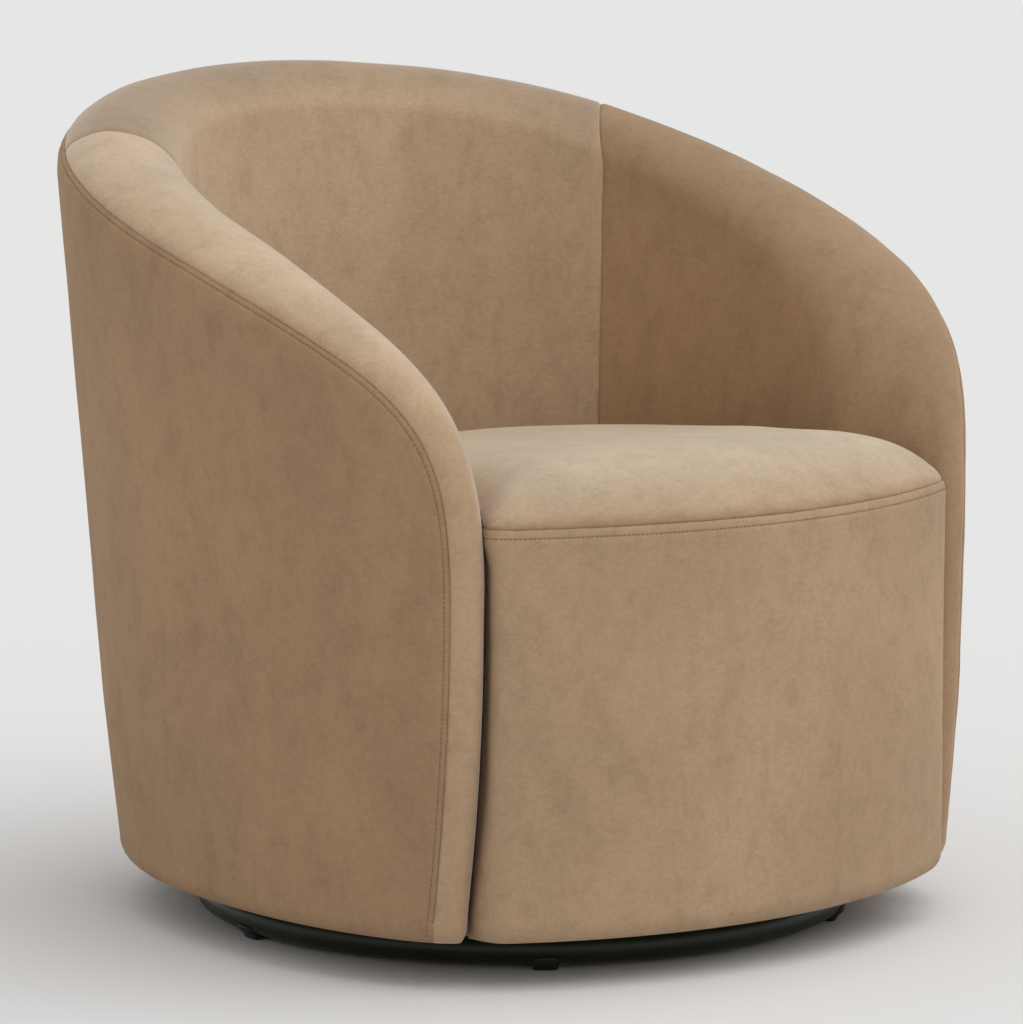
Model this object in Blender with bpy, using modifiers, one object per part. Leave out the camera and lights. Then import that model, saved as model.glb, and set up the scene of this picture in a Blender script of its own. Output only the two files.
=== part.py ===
# Swivel armchair: an upholstered barrel chair on a round steel base.
# Metres, +Z up, the sitter faces -Y. The origin is on the floor, below the middle of the chair's box.

import math

import bmesh
import bpy
from mathutils import Vector

# Plan of the upholstered shell, measured from the swivel axis
shell_half_width = 0.3686
shell_half_depth = 0.4075
shell_roundness = 2.22
front_roundness = 2.348
lean_height = 0.293
back_lean = 0.092
front_lean = 0.0067
swivel_axis_y = -0.0420

# Top edge of the wall, from the middle of the back to the arm front
back_height = 0.757
knot_angle = math.radians(82.28)
knot_height = 0.6526
knot_fall = 0.1068
back_flatness = 0.4049
knot_reach = 0.3365
arm_angle = math.radians(136.09)
arm_turn_height = 0.3429
arm_reach = 0.8747
arm_drop = 0.5574
arm_sweep = math.radians(2.445)
sweep_power = 2.0

# Wall section
wall_thickness = 0.114
rim_depth = 0.044
tip_setback = 0.030
tip_depth_outside = 0.050
tip_depth_inside = 0.075
seam_roll = 60.0
inside_seam_angle = math.radians(53.0)
foot_draw = 0.004
foot_draw_height = 0.13
fabric = 0.002
gap = 0.0003
shell_board_thickness = 0.006

# Base board and lower edge
base_board_thickness = 0.0187
lower_edge_radius = 0.018
base_board_bore = 0.018

# Seat and drum front
drum_bulge = 0.0674
drum_corner_inside = 0.0130
drum_corner_ahead = 0.0215
drum_corner = 0.030
arm_clearance = 0.0012
seat_clearance = 0.003
seam_height = 0.402
crown_height = 0.0524
crown_power = 5.7
crown_softness = 0.89
crown_setback = 0.2097
crown_side_margin = 0.012
crown_front_margin = 0.008
crown_back_margin = 0.004
crown_blend = 0.80
crown_evenness = 0.65
seat_slope = 0.0774
slope_setback = 0.1215
seam_draw = 0.0025
front_foam_thickness = 0.030
front_foam_draw = math.radians(0.3)
front_panel_draw = math.radians(1.6)
front_panel_thickness = 0.006
seat_foam_base = 0.290

# Seat frame
rail_width = 0.025
rail_height = 0.050
support_thickness = 0.018
frame_side_clearance = 0.0746
frame_front_clearance = 0.1065
frame_back_clearance = 0.1035
spring_count = 4
spring_wire = 0.0019
spring_half_width = 0.024
spring_bends = 9
spring_side_clearance = 0.0115
post_width = 0.045
post_depth = 0.032
post_angles = (28.0, 108.0)
post_cover = 0.085

# Round base
glide_height = 0.0045
glide_radius = 0.012
glide_wrap = 0.007
glide_angles = (35.0, 95.0, 152.0)
ring_radius = 0.2893
ring_tube_radius = 0.0145
bar_width = 0.032
bar_height = 0.015
bar_top = 0.0267

# Swivel bearing
plate_radius = 0.132
plate_thickness = 0.003
ball_radius = 0.005
ball_count = 8
race_radius = 0.060
race_depth = 0.001
cage_thickness = 0.0025
cage_width = 0.050
pin_radius = 0.008
pin_head_radius = 0.0135
pin_head_height = 0.003
bolt_radius = 0.003
bolt_head_radius = 0.0055
bolt_head_height = 0.003
bolt_length = 0.012
lower_bolt_circle = 0.108
upper_bolt_circle = 0.118

# Heights worked out from the sizes above
lower_plate_bottom = bar_top + gap
ball_height = lower_plate_bottom + plate_thickness + ball_radius - race_depth + gap
upper_plate_bottom = ball_height + ball_radius - race_depth + gap
board_bottom = upper_plate_bottom + plate_thickness + gap
board_top = board_bottom + base_board_thickness
wall_bottom = board_top + gap
skirt_height = board_bottom - gap - fabric
edge_centre = skirt_height + fabric + lower_edge_radius
ring_height = glide_height + ring_tube_radius
rail_top = seat_foam_base - 2 * gap - 2 * spring_wire

velvet = (0.352, 0.237, 0.146, 1.0)
foam_yellow = (0.72, 0.62, 0.38, 1.0)
plywood = (0.55, 0.38, 0.22, 1.0)
timber = (0.62, 0.45, 0.27, 1.0)
dark_green_paint = (0.012, 0.018, 0.012, 1.0)
black_plastic = (0.02, 0.021, 0.02, 1.0)
zinc = (0.55, 0.55, 0.56, 1.0)
steel = (0.6, 0.6, 0.6, 1.0)
nylon = (0.78, 0.77, 0.72, 1.0)

for old in list(bpy.data.objects):
    bpy.data.objects.remove(old, do_unlink=True)

chair_parts = bpy.data.collections.new("swivel_armchair")
cutters = bpy.data.collections.new("cutters")
bpy.context.scene.collection.children.link(chair_parts)
bpy.context.scene.collection.children.link(cutters)


def make_anchor(name):
    anchor = bpy.data.objects.new(name, None)
    anchor.location = (0.0, swivel_axis_y, 0.0)
    chair_parts.objects.link(anchor)
    return anchor


base_anchor = make_anchor("base_anchor")
cage_anchor = make_anchor("cage_anchor")
chair_anchor = make_anchor("chair_anchor")


def make_material(name, color, roughness, metallic=0.0):
    material = bpy.data.materials.new(name)
    material.use_nodes = True
    shader = material.node_tree.nodes["Principled BSDF"]
    shader.inputs["Base Color"].default_value = color
    shader.inputs["Roughness"].default_value = roughness
    shader.inputs["Metallic"].default_value = metallic
    return material


def place(name, mesh, anchor, look, smooth=True, collection=chair_parts):
    """Link a mesh as one named object below an anchor, with a material of its own."""
    obj = bpy.data.objects.new(name, mesh)
    collection.objects.link(obj)
    obj.parent = anchor
    if look:
        mesh.materials.clear()
        mesh.materials.append(make_material(name, *look))
    if smooth:
        mesh.shade_smooth()
        mesh.set_sharp_from_angle(angle=math.radians(35.0))
    if collection is cutters:
        obj.hide_render = True
        obj.display_type = "WIRE"
    return obj


def clean_mesh(name, points, faces):
    """Make a closed mesh from loose faces: merge what meets, drop what is unused, face outwards."""
    mesh = bpy.data.meshes.new(name)
    mesh.from_pydata([tuple(p) for p in points], [], faces)
    shape = bmesh.new()
    shape.from_mesh(mesh)
    bmesh.ops.remove_doubles(shape, verts=shape.verts, dist=2e-6)
    bmesh.ops.delete(shape, geom=[v for v in shape.verts if not v.link_faces], context="VERTS")
    bmesh.ops.recalc_face_normals(shape, faces=shape.faces)
    shape.to_mesh(mesh)
    shape.free()
    return mesh


def cut(obj, cutter, operation="DIFFERENCE"):
    boolean = obj.modifiers.new("cut_" + cutter.name, "BOOLEAN")
    boolean.operation = operation
    boolean.solver = "EXACT"
    boolean.object = cutter


def box(name, size, location, anchor, look=None, collection=chair_parts):
    shape = bmesh.new()
    bmesh.ops.create_cube(shape, size=1.0)
    bmesh.ops.scale(shape, vec=Vector(size), verts=shape.verts)
    mesh = bpy.data.meshes.new(name)
    shape.to_mesh(mesh)
    shape.free()
    obj = place(name, mesh, anchor, look, smooth=False, collection=collection)
    obj.location = location
    return obj


def cylinder(name, radius, bottom, top, anchor, look=None, collection=chair_parts, xy=(0.0, 0.0), sides=16):
    shape = bmesh.new()
    bmesh.ops.create_cone(
        shape, cap_ends=True, segments=sides, radius1=radius, radius2=radius, depth=top - bottom
    )
    mesh = bpy.data.meshes.new(name)
    shape.to_mesh(mesh)
    shape.free()
    obj = place(name, mesh, anchor, look, collection=collection)
    obj.location = (xy[0], xy[1], (bottom + top) / 2)
    return obj


def turned(name, profile, anchor, look=None, collection=chair_parts, steps=48, xy=(0.0, 0.0)):
    """Turn a profile of (radius, height) points, listed from the top down its outer side."""
    mesh = bpy.data.meshes.new(name)
    points = [(r, 0.0, z) for r, z in profile]
    edges = [(i, i + 1) for i in range(len(points) - 1)]
    if profile[0][0] > 0.0:
        edges.append((len(points) - 1, 0))
    mesh.from_pydata(points, edges, [])
    obj = place(name, mesh, anchor, look, smooth=False, collection=collection)
    obj.location = (xy[0], xy[1], 0.0)
    screw = obj.modifiers.new("turn", "SCREW")
    screw.steps = steps
    screw.render_steps = steps
    screw.use_merge_vertices = True
    screw.merge_threshold = 0.00001
    screw.use_smooth_shade = True
    return obj


def spread(start, end, count):
    return [start + (end - start) * i / count for i in range(count + 1)]


def on_circle(radius, angle):
    """A point of the base, at an angle from the front towards the sitter's left (+X)."""
    return radius * math.sin(angle), -radius * math.cos(angle)


# Shape of the wall
def plan_radius(theta):
    x = abs(math.sin(theta)) / shell_half_width
    y = abs(math.cos(theta)) / shell_half_depth
    power = front_roundness if math.cos(theta) < 0 else shell_roundness
    return (x**power + y**power) ** (-1.0 / power)


def outer_radius(theta, z):
    """Radius of the wall's outside, at an angle from the back and a height."""
    lean = front_lean + (back_lean - front_lean) * (0.5 + 0.5 * math.cos(theta))
    return plan_radius(theta) + lean * (z - lean_height)


def towards_tip(u, at_back, at_tip):
    """A size of the section that changes smoothly along the arm."""
    share = min(max(2 * u - 1, 0.0), 1.0)
    return at_back + (at_tip - at_back) * share * share * (3 - 2 * share)


def half_width(u, side):
    """Distance from the edge line to the outside (-1) or the inside (1) of the wall."""
    setback = towards_tip(u, wall_thickness / 2, tip_setback)
    return setback if side < 0 else wall_thickness - setback


def roll_depth(u, side):
    """Distance from the edge line to where the flat of the side begins."""
    return towards_tip(u, rim_depth, tip_depth_outside if side < 0 else tip_depth_inside)


def edge_radius(u, theta, z):
    return outer_radius(theta, z) - half_width(u, -1)


def foot_draw_at(z):
    """How far the outside is drawn in towards the base board, at a height."""
    return foot_draw * max(0.0, 1 - (z - wall_bottom) / foot_draw_height)


def bezier(controls, t):
    a, b, c, d = controls
    s = 1.0 - t
    return s**3 * a + 3 * s * s * t * b + 3 * s * t * t * c + t**3 * d


def rim(u):
    """Angle and height of the wall's edge: 0 mid back, 1 where the arm front turns down, 2 at its foot."""
    if u <= 0.5:
        angles = (0.0, knot_angle * back_flatness, knot_angle * (1 - knot_reach), knot_angle)
        rise = knot_fall * knot_angle * knot_reach
        heights = (back_height, back_height, knot_height + rise, knot_height)
        return bezier(angles, 2 * u), bezier(heights, 2 * u)
    if u <= 1.0:
        span = arm_angle - knot_angle
        drop = knot_fall * span * arm_reach
        fall = (knot_height - arm_turn_height) * arm_drop
        angles = (knot_angle, knot_angle + span * arm_reach, arm_angle, arm_angle)
        heights = (knot_height, knot_height - drop, arm_turn_height + fall, arm_turn_height)
        return bezier(angles, 2 * u - 1), bezier(heights, 2 * u - 1)
    down = u - 1.0
    theta = arm_angle - arm_sweep * down**sweep_power
    return theta, arm_turn_height + (wall_bottom - arm_turn_height) * down


def rim_inward(u):
    """Direction into the wall from its edge, in the unrolled plane of arc length and height."""
    if u <= 0.0:
        return 0.0, -1.0
    if u >= 1.0:
        return -1.0, 0.0
    before, after = rim(u - 0.001), rim(min(u + 0.001, 1.0))
    along = (after[0] - before[0]) * edge_radius(u, *rim(u))
    down = after[1] - before[1]
    length = math.hypot(along, down)
    return down / length, -along / length


def below_rim(u, depth):
    theta, z = rim(u)
    side, down = rim_inward(u)
    return theta + side * depth / edge_radius(u, theta, z), z + down * depth


def find(low, high, is_before):
    """Halve an interval until it closes on the place where is_before stops being true."""
    for _ in range(40):
        mid = (low + high) / 2
        if is_before(mid):
            low = mid
        else:
            high = mid
    return low


def rim_length(u):
    stations = [rim(u * i / 60) for i in range(61)]
    total = 0.0
    for a, b in zip(stations, stations[1:]):
        total += math.hypot((b[0] - a[0]) * outer_radius(*b), b[1] - a[1])
    return total


seam_column = find(0.0, 1.0, lambda u: below_rim(u, rim_depth)[0] < inside_seam_angle)
seam_length = rim_length(seam_column)
foot_length = rim_length(2.0)
foot_angles = {side: below_rim(2.0, roll_depth(2.0, side))[0] for side in (-1, 1)}
back_columns = spread(0.0, seam_column, 7)
arm_columns = spread(seam_column, 1.0, 10) + spread(1.0, 2.0, 4)[1:]
all_columns = back_columns + arm_columns[1:]


# The drum's front is an arc between two corners that stand before the inner edges of the arms
tip_angle, tip_height = rim(1.0)
tip_radius = edge_radius(1.0, tip_angle, tip_height)
drum_corner_x = tip_radius * math.sin(tip_angle) - drum_corner_inside
drum_corner_y = tip_radius * math.cos(tip_angle) - drum_corner_ahead
drum_radius = (drum_corner_x**2 + drum_bulge**2) / (2 * drum_bulge)
drum_front_y = drum_corner_y - drum_bulge
drum_centre_y = drum_front_y + drum_radius
drum_end_angle = math.asin(drum_corner_x / drum_radius)

# The seat frame and the crown follow the walls and the drum
seat_half_width = shell_half_width - wall_thickness
seat_back_y = shell_half_depth - wall_thickness
frame_half_width = seat_half_width - frame_side_clearance
frame_front_y = drum_front_y + frame_front_clearance
frame_back_y = seat_back_y - frame_back_clearance
crown_centre_y = drum_front_y + crown_setback


def foot_of(u, side):
    """Angle at which a column reaches the base board."""
    if u <= seam_column:
        return below_rim(u, rim_depth)[0]
    share = (rim_length(u) - seam_length) / (foot_length - seam_length)
    return inside_seam_angle + (foot_angles[side] - inside_seam_angle) * share


# Rows of the wall's section, each a side (-1 outside, 1 inside), a kind and a value
outer_fall = [(-1, "fall", 1.0), (-1, "fall", 2 / 3), (-1, "fall", 1 / 3), (-1, "roll", 90.0)]
outer_roll = [(-1, "roll", seam_roll), (-1, "roll", 30.0), (-1, "roll", 0.0)]
inner_roll = [(1, "roll", 30.0), (1, "roll", 60.0), (1, "roll", 90.0)]
inner_fall = [(1, "fall", 1 / 3), (1, "fall", 2 / 3), (1, "fall", 1.0)]
all_rows = outer_fall + outer_roll + inner_roll + inner_fall


def round_axis(radius, theta, z):
    return Vector((radius * math.sin(theta), radius * math.cos(theta), z))


def wall_point(u, row, inset):
    side, kind, value = row
    depth = roll_depth(u, side)
    roll = math.radians(value if kind == "roll" else 90.0)
    theta, z = below_rim(u, inset + (depth - inset) * (1 - math.cos(roll)))
    if kind == "fall":
        theta += (foot_of(u, side) - theta) * value
        z += (wall_bottom - z) * value
    drawn = foot_draw_at(z) if side < 0 else 0.0
    half = (half_width(u, side) - inset - drawn) * math.sin(roll)
    return round_axis(edge_radius(u, theta, z) - side * half, theta, z)


def edge_levels(inset):
    """How far a layer is drawn in at each height of the rounded lower edge, lowest first."""
    radius = lower_edge_radius + fabric - inset
    turns = [math.radians(a) for a in (0.0, 30.0, 60.0, 90.0)]
    return [(radius * (1 - math.sin(t)), edge_centre - radius * math.cos(t)) for t in turns]


def lowered(u, row, inset, level):
    back, height = edge_levels(inset)[level]
    point = wall_point(u, row, inset + back)
    point.z = height
    return point


def hem(u, inset):
    """Points of one column round the rounded lower edge, lowest first."""
    return [lowered(u, outer_fall[0], inset, level) for level in range(4)]


def square_halves(a, b, c, d, turned_diagonal=False):
    """Split a square into two triangles, along the same diagonal in every layer."""
    if turned_diagonal:
        return [(a, b, d), (b, c, d)]
    return [(a, b, c), (a, c, d)]


def sheet(name, front, back, anchor, look, whole=False, from_front=False, kept=None):
    """Close two matching grids of points, [column][row], into one solid.

    whole completes a half whose first column lies on the middle plane, from_front says that
    it is the middle of the front, and kept says which (column, row) squares exist. Every
    open edge is joined front to back."""
    middle = len(front) - 1 if whole else 0
    if whole:
        front, back = both_sides(front), both_sides(back)
    rows = len(front[0])
    points = [p for column in front for p in column] + [p for column in back for p in column]
    shift = len(front) * rows
    faces = []
    open_edges = {}
    for i in range(len(front) - 1):
        for j in range(rows - 1):
            if kept and not kept(i, j):
                continue
            a, b = i * rows + j, (i + 1) * rows + j
            for half in square_halves(a, b, b + 1, a + 1, (i < middle) != from_front):
                faces.append(half)
                faces.append(tuple(k + shift for k in reversed(half)))
            square = (a, b, b + 1, a + 1)
            for edge in zip(square, square[1:] + square[:1]):
                if edge[::-1] in open_edges:
                    del open_edges[edge[::-1]]
                else:
                    open_edges[edge] = True
    for a, b in open_edges:
        faces.append((b, a, a + shift, b + shift))
    return place(name, clean_mesh(name, points, faces), anchor, look)


def block(name, grid, anchor, look, whole=False):
    """Close a grid whose columns run round a section, out along one side and back along the other."""
    middle = len(grid) - 1 if whole else 0
    if whole:
        grid = both_sides(grid)
    rows = len(grid[0])
    faces = []
    for i in range(len(grid) - 1):
        for j in range(rows - 1):
            a, b = i * rows + j, (i + 1) * rows + j
            faces += square_halves(a, b, b + 1, a + 1, i < middle)
        a, b = i * rows, (i + 1) * rows
        faces.append((a, b, b + rows - 1, a + rows - 1))
    for start in (0, (len(grid) - 1) * rows):
        for j in range(rows // 2):
            faces.append((start + j, start + j + 1, start + rows - 2 - j, start + rows - 1 - j))
    faces = [tuple(dict.fromkeys(face)) for face in faces]
    points = [p for column in grid for p in column]
    return place(name, clean_mesh(name, points, faces), anchor, look)


def mirrored(grid):
    return [[Vector((-p.x, p.y, p.z)) for p in column] for column in grid]


def both_sides(grid):
    """Complete a half whose first column lies on the middle plane."""
    return mirrored(grid[1:])[::-1] + grid


def towards(a, b, distance):
    step = b - a
    return a + step.normalized() * distance if step.length > distance else a


def with_seam_gaps(grid, first_row=False, last_row=False, first_column=False, last_column=False):
    """Draw a grid's edges in by half a gap where it meets the next piece along a seam."""
    grid = [list(column) for column in grid]
    if first_row:
        for column in grid:
            column[0] = towards(column[0], column[1], gap / 2)
    if last_row:
        for column in grid:
            column[-1] = towards(column[-1], column[-2], gap / 2)
    if first_column:
        grid[0] = [towards(a, b, gap / 2) for a, b in zip(grid[0], grid[1])]
    if last_column:
        grid[-1] = [towards(a, b, gap / 2) for a, b in zip(grid[-1], grid[-2])]
    return grid


fabric_look = (velvet, 0.85)
foam_look = (foam_yellow, 0.9)
ply_look = (plywood, 0.6)
timber_look = (timber, 0.65)
paint_look = (dark_green_paint, 0.35, 0.3)
plastic_look = (black_plastic, 0.5)
zinc_look = (zinc, 0.35, 0.9)
steel_look = (steel, 0.25, 1.0)
nylon_look = (nylon, 0.5)


# Upholstered wall
def make_outside_cover():
    rows = outer_fall + outer_roll[:1]
    grids = []
    for inset in (0.0, fabric):
        grid = [hem(u, inset) + [wall_point(u, row, inset) for row in rows] for u in all_columns]
        for level in (3, 2, 1, 0):
            below = [lowered(2.0, outer_fall[0], inset, min(level, k)) for k in range(4)]
            grid.append(below + [lowered(2.0, row, inset, level) for row in rows])
        grids.append(with_seam_gaps(grid, last_row=True))
    sheet("outside_cover", grids[0], grids[1], chair_anchor, fabric_look, whole=True)


inside_rows = outer_roll + inner_roll + inner_fall


def inside_grids(columns, **gaps):
    grids = []
    for inset in (0.0, fabric):
        grid = [[wall_point(u, row, inset) for row in inside_rows] for u in columns]
        grids.append(with_seam_gaps(grid, first_row=True, **gaps))
    return grids


def make_inside_covers():
    front, back = inside_grids(back_columns, last_column=True)
    sheet("inside_back_cover", front, back, chair_anchor, fabric_look, whole=True)

    front, back = inside_grids(arm_columns, first_column=True)
    columns = len(front)
    for grid, inset in ((front, 0.0), (back, fabric)):
        for level in (3, 2, 1, 0):
            turned_in = [lowered(2.0, row, inset, level) for row in outer_roll[:2]]
            turned_in[0] = towards(turned_in[0], turned_in[1], gap / 2)
            grid.append(turned_in + grid[columns - 1][2:])

    def kept(i, j):
        return i < columns - 1 or j == 0

    sheet("inside_arm_cover_left", front, back, chair_anchor, fabric_look, kept=kept)
    front, back = mirrored(front), mirrored(back)
    sheet("inside_arm_cover_right", front, back, chair_anchor, fabric_look, kept=kept)


def foam_inset(row):
    if row in outer_fall:
        return fabric + shell_board_thickness + 2 * gap
    return fabric + gap


def foam_grid(columns, **gaps):
    return with_seam_gaps([[wall_point(u, row, foam_inset(row)) for row in all_rows] for u in columns], **gaps)


def make_wall_foam():
    back_grid = foam_grid(back_columns, last_column=True)
    arm_grid = foam_grid(arm_columns, first_column=True)
    back = block("back_foam", back_grid, chair_anchor, foam_look, whole=True)
    left = block("arm_foam_left", arm_grid, chair_anchor, foam_look)
    right = block("arm_foam_right", mirrored(arm_grid), chair_anchor, foam_look)
    return back, left, right


def make_shell_board():
    columns = [u for u in all_columns if u <= 1.0]
    grids = []
    for inset in (fabric + gap, fabric + gap + shell_board_thickness):
        grids.append([[wall_point(u, row, inset) for row in outer_fall] for u in columns])
    sheet("shell_board", grids[0], grids[1], chair_anchor, ply_look, whole=True)


def post(name, theta, side, clearance, drop, collection, look):
    """An upright batten inside the wall, leaning with it, cut level at both ends."""
    u = find(0.0, 1.0, lambda v: rim(v)[0] < theta)
    top = rim(u)[1] - post_cover
    slope = (outer_radius(theta, top) - outer_radius(theta, wall_bottom)) / (top - wall_bottom)
    points = []
    for z in (wall_bottom - drop, top + clearance):
        radius = outer_radius(theta, wall_bottom) - wall_thickness / 2 + slope * (z - wall_bottom)
        for across, deep in ((-1, -1), (1, -1), (1, 1), (-1, 1)):
            point = round_axis(radius + deep * (post_depth / 2 + clearance), theta, z)
            sideways = across * (post_width / 2 + clearance)
            point += Vector((sideways * math.cos(theta), -sideways * math.sin(theta), 0.0))
            points.append(Vector((side * point.x, point.y, point.z)))
    faces = [(0, 1, 2, 3), (4, 5, 6, 7), (0, 1, 5, 4), (1, 2, 6, 5), (2, 3, 7, 6), (3, 0, 4, 7)]
    mesh = clean_mesh(name, points, faces)
    return place(name, mesh, chair_anchor, look, smooth=False, collection=collection)


def make_posts(back, left, right):
    for side, hand, arm in ((1, "left", left), (-1, "right", right)):
        for place_name, angle, foam in (("back", post_angles[0], back), ("arm", post_angles[1], arm)):
            theta = math.radians(angle)
            name = place_name + "_post_" + hand
            post(name, theta, side, 0.0, 0.0, chair_parts, timber_look)
            cut(foam, post(name + "_slot", theta, side, gap, 0.02, cutters, None))


# Seat and drum front
arm_rolls = (76.0, 56.0, 38.0, 25.0, 14.0)


def seat_tilt(y):
    """How far the seat's top lies below its front edge, at a distance from the swivel axis."""
    return seat_slope * max(0.0, y - drum_front_y - slope_setback)


def beside_wall(share, z, inset):
    """A point of the seat's side at a height, from the middle of the back (0) to the arm front (1)."""
    u = 2.0 - find(0.0, 1.4, lambda v: rim(2.0 - v)[1] < z)
    tip = rim(u)[0]
    theta = share * (tip - roll_depth(u, 1) / edge_radius(u, tip, z))
    return round_axis(outer_radius(theta, z) - wall_thickness - seat_clearance - inset, theta, z)


def beside_arm(roll, z, inset):
    """A point of the seat's side at a height, round the inner edge of the arm front."""
    u = 2.0 - find(0.0, 1.4, lambda v: rim(2.0 - v)[1] < z)
    tip = rim(u)[0]
    depth, half = roll_depth(u, 1), half_width(u, 1)
    ahead = (depth + arm_clearance + inset) * math.cos(math.radians(roll)) - depth
    theta = tip + ahead / edge_radius(u, tip, z)
    reach = (half + arm_clearance + inset) * math.sin(math.radians(roll))
    return round_axis(edge_radius(u, theta, z) - reach, theta, z)


def seat_outline(z, inset, back=0.0, tilt=0.0):
    """Half plan of the seat at a height, from the middle of the back round to the middle of the front.

    back draws in the drum's front alone, and tilt is the share of the seat's tilt."""
    points = []
    sides = [(beside_wall, share) for share in spread(0.0, 1.0, 9)[:-1]]
    for point_at, value in sides + [(beside_arm, roll) for roll in arm_rolls]:
        level = z - tilt * seat_tilt(point_at(value, z, inset).y)
        points.append(point_at(value, level, inset))
    radius = drum_radius - inset - back
    sine, cosine = math.sin(drum_end_angle), math.cos(drum_end_angle)
    corner = Vector((radius * sine, drum_centre_y - radius * cosine, z))
    bend = corner + Vector((cosine, sine, 0.0)) * max(0.0, drum_corner - 0.9 * (inset + back))
    start = points[-1]
    for t in (0.3, 0.6):
        points.append(start * (1 - t) ** 2 + bend * 2 * t * (1 - t) + corner * t * t)
    for angle in spread(drum_end_angle, 0.0, 6):
        points.append(Vector((radius * math.sin(angle), drum_centre_y - radius * math.cos(angle), z)))
    return points


band_start = 13
crown_shares = (1.0, 0.985, 0.95, 0.87, 0.72, 0.48)


def crown(share, y):
    """Height of the seat's top above its seam in front: full in the middle, lower at the back."""
    return crown_height * (1 - share**crown_power) ** crown_softness - seat_tilt(y)


def crown_oval(angle):
    """Reach of the oval that the crown's inner rings run into, at an angle from the back."""
    half = seat_half_width + crown_side_margin
    if math.cos(angle) < 0:
        depth = crown_setback - crown_front_margin
    else:
        depth = seat_back_y - crown_centre_y - crown_back_margin
    return 1 / math.hypot(math.sin(angle) / half, math.cos(angle) / depth)


def crowned_rings(inset, drop):
    """Half rings of the seat's crowned top, from its edge in, and the point in the middle."""
    outline = seat_outline(seam_height, inset, seam_draw, 1.0)
    steps = [0.0]
    for a, b in zip(outline, outline[1:]):
        steps.append(steps[-1] + (b - a).length)
    rings = []
    for share in crown_shares:
        blend = min(1.0, (1 - share) / crown_blend)
        blend *= blend * (3 - 2 * blend)
        ring = []
        for point, step in zip(outline, steps):
            angle = math.atan2(point.x, point.y - crown_centre_y)
            reach = math.hypot(point.x, point.y - crown_centre_y)
            even = math.pi * step / steps[-1]
            angle += (even - angle) * crown_evenness * blend
            length = (reach * (1 - blend) + crown_oval(angle) * blend) * share
            x, y = math.sin(angle) * length, crown_centre_y + math.cos(angle) * length
            ring.append(Vector((x, y, seam_height + crown(share, y) - drop)))
        rings.append(ring)
    return rings, Vector((0.0, crown_centre_y, seam_height + crown(0.0, crown_centre_y) - drop))


def closed_ring(half):
    """Complete a half outline, from the middle of the back to the middle of the front, into a loop."""
    return half + [Vector((-p.x, p.y, p.z)) for p in half[-2:0:-1]]


def stacked(name, half_rings, first_point, last_point, look, fold=None):
    """Close stacked half rings into a solid, with a fan, or one flat face, at each end.

    From the ring called fold on, the squares are split along their other diagonal."""
    rings = [closed_ring(half) for half in half_rings]
    count = len(rings[0])
    points = [p for ring in rings for p in ring]
    faces = []
    for k in range(len(rings) - 1):
        for j in range(count):
            after = (j + 1) % count
            square = (k * count + j, k * count + after, (k + 1) * count + after, (k + 1) * count + j)
            faces += square_halves(*square, (j >= count // 2) != (fold is not None and k >= fold))
    for start, middle in ((0, first_point), ((len(rings) - 1) * count, last_point)):
        if middle is None:
            faces.append(tuple(range(start, start + count)))
            continue
        points.append(middle)
        for j in range(count):
            faces.append((start + j, start + (j + 1) % count, len(points) - 1))
    return place(name, clean_mesh(name, points, faces), chair_anchor, look)


side_levels = ((seam_height - 0.010, 0.0006, 1.0), (seam_height - 0.030, 0.0, 1.0), (seat_foam_base, 0.0, 0.0))


def make_seat():
    hidden = fabric + gap
    rings, top = crowned_rings(hidden, hidden)
    sides = [seat_outline(z, hidden, draw, tilt) for z, draw, tilt in side_levels]
    stacked("seat_foam", rings[::-1] + sides, top, None, foam_look, fold=len(rings) - 1)

    outer, top = crowned_rings(0.0, 0.0)
    inner, inner_top = crowned_rings(fabric, fabric)
    for ring in (outer[0], inner[0]):
        for point in ring:
            point.z = seam_height + gap / 2 - seat_tilt(point.y)
    stacked("seat_top_cover", outer[::-1] + inner, top, inner_top, fabric_look, fold=len(outer))


def make_front_band_cover():
    grids = []
    for inset in (0.0, fabric):
        levels = [(height, back, 0.0) for back, height in edge_levels(inset)]
        levels += [(z, 0.0, 0.0) for z in spread(wall_bottom, seat_foam_base, 2)[:2]]
        levels += list(side_levels[::-1]) + [(seam_height - gap / 2, seam_draw, 1.0)]
        rows = [seat_outline(z, inset, back, tilt)[band_start:] for z, back, tilt in levels]
        grids.append([[row[k] for row in rows] for k in range(len(rows[0]))][::-1])
    sheet("front_band_cover", *grids, chair_anchor, fabric_look, whole=True, from_front=True)


def make_front_foam():
    inner_radius = drum_radius - fabric - gap - front_foam_thickness
    heights = spread(wall_bottom, seat_foam_base, 2)
    heights[-1] -= gap
    outer = [seat_outline(z, fabric + gap)[band_start:] for z in heights]
    count = len(outer[0])
    front = [[row[k] for row in outer] for k in range(count)][::-1]
    back = []
    for angle in spread(0.0, drum_end_angle - front_foam_draw, count - 1):
        x, y = inner_radius * math.sin(angle), drum_centre_y - inner_radius * math.cos(angle)
        back.append([Vector((x, y, z)) for z in heights])
    sheet("front_foam", front, back, chair_anchor, foam_look, whole=True, from_front=True)


def make_front_panel():
    outer_radius = drum_radius - fabric - front_foam_thickness - 2 * gap
    grids = []
    for radius in (outer_radius, outer_radius - front_panel_thickness):
        half = []
        for angle in spread(0.0, drum_end_angle - front_panel_draw, 6):
            x, y = radius * math.sin(angle), drum_centre_y - radius * math.cos(angle)
            half.append([Vector((x, y, z)) for z in (wall_bottom, seat_foam_base - gap)])
        grids.append(half)
    sheet("front_panel", grids[0], grids[1], chair_anchor, ply_look, whole=True)


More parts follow.
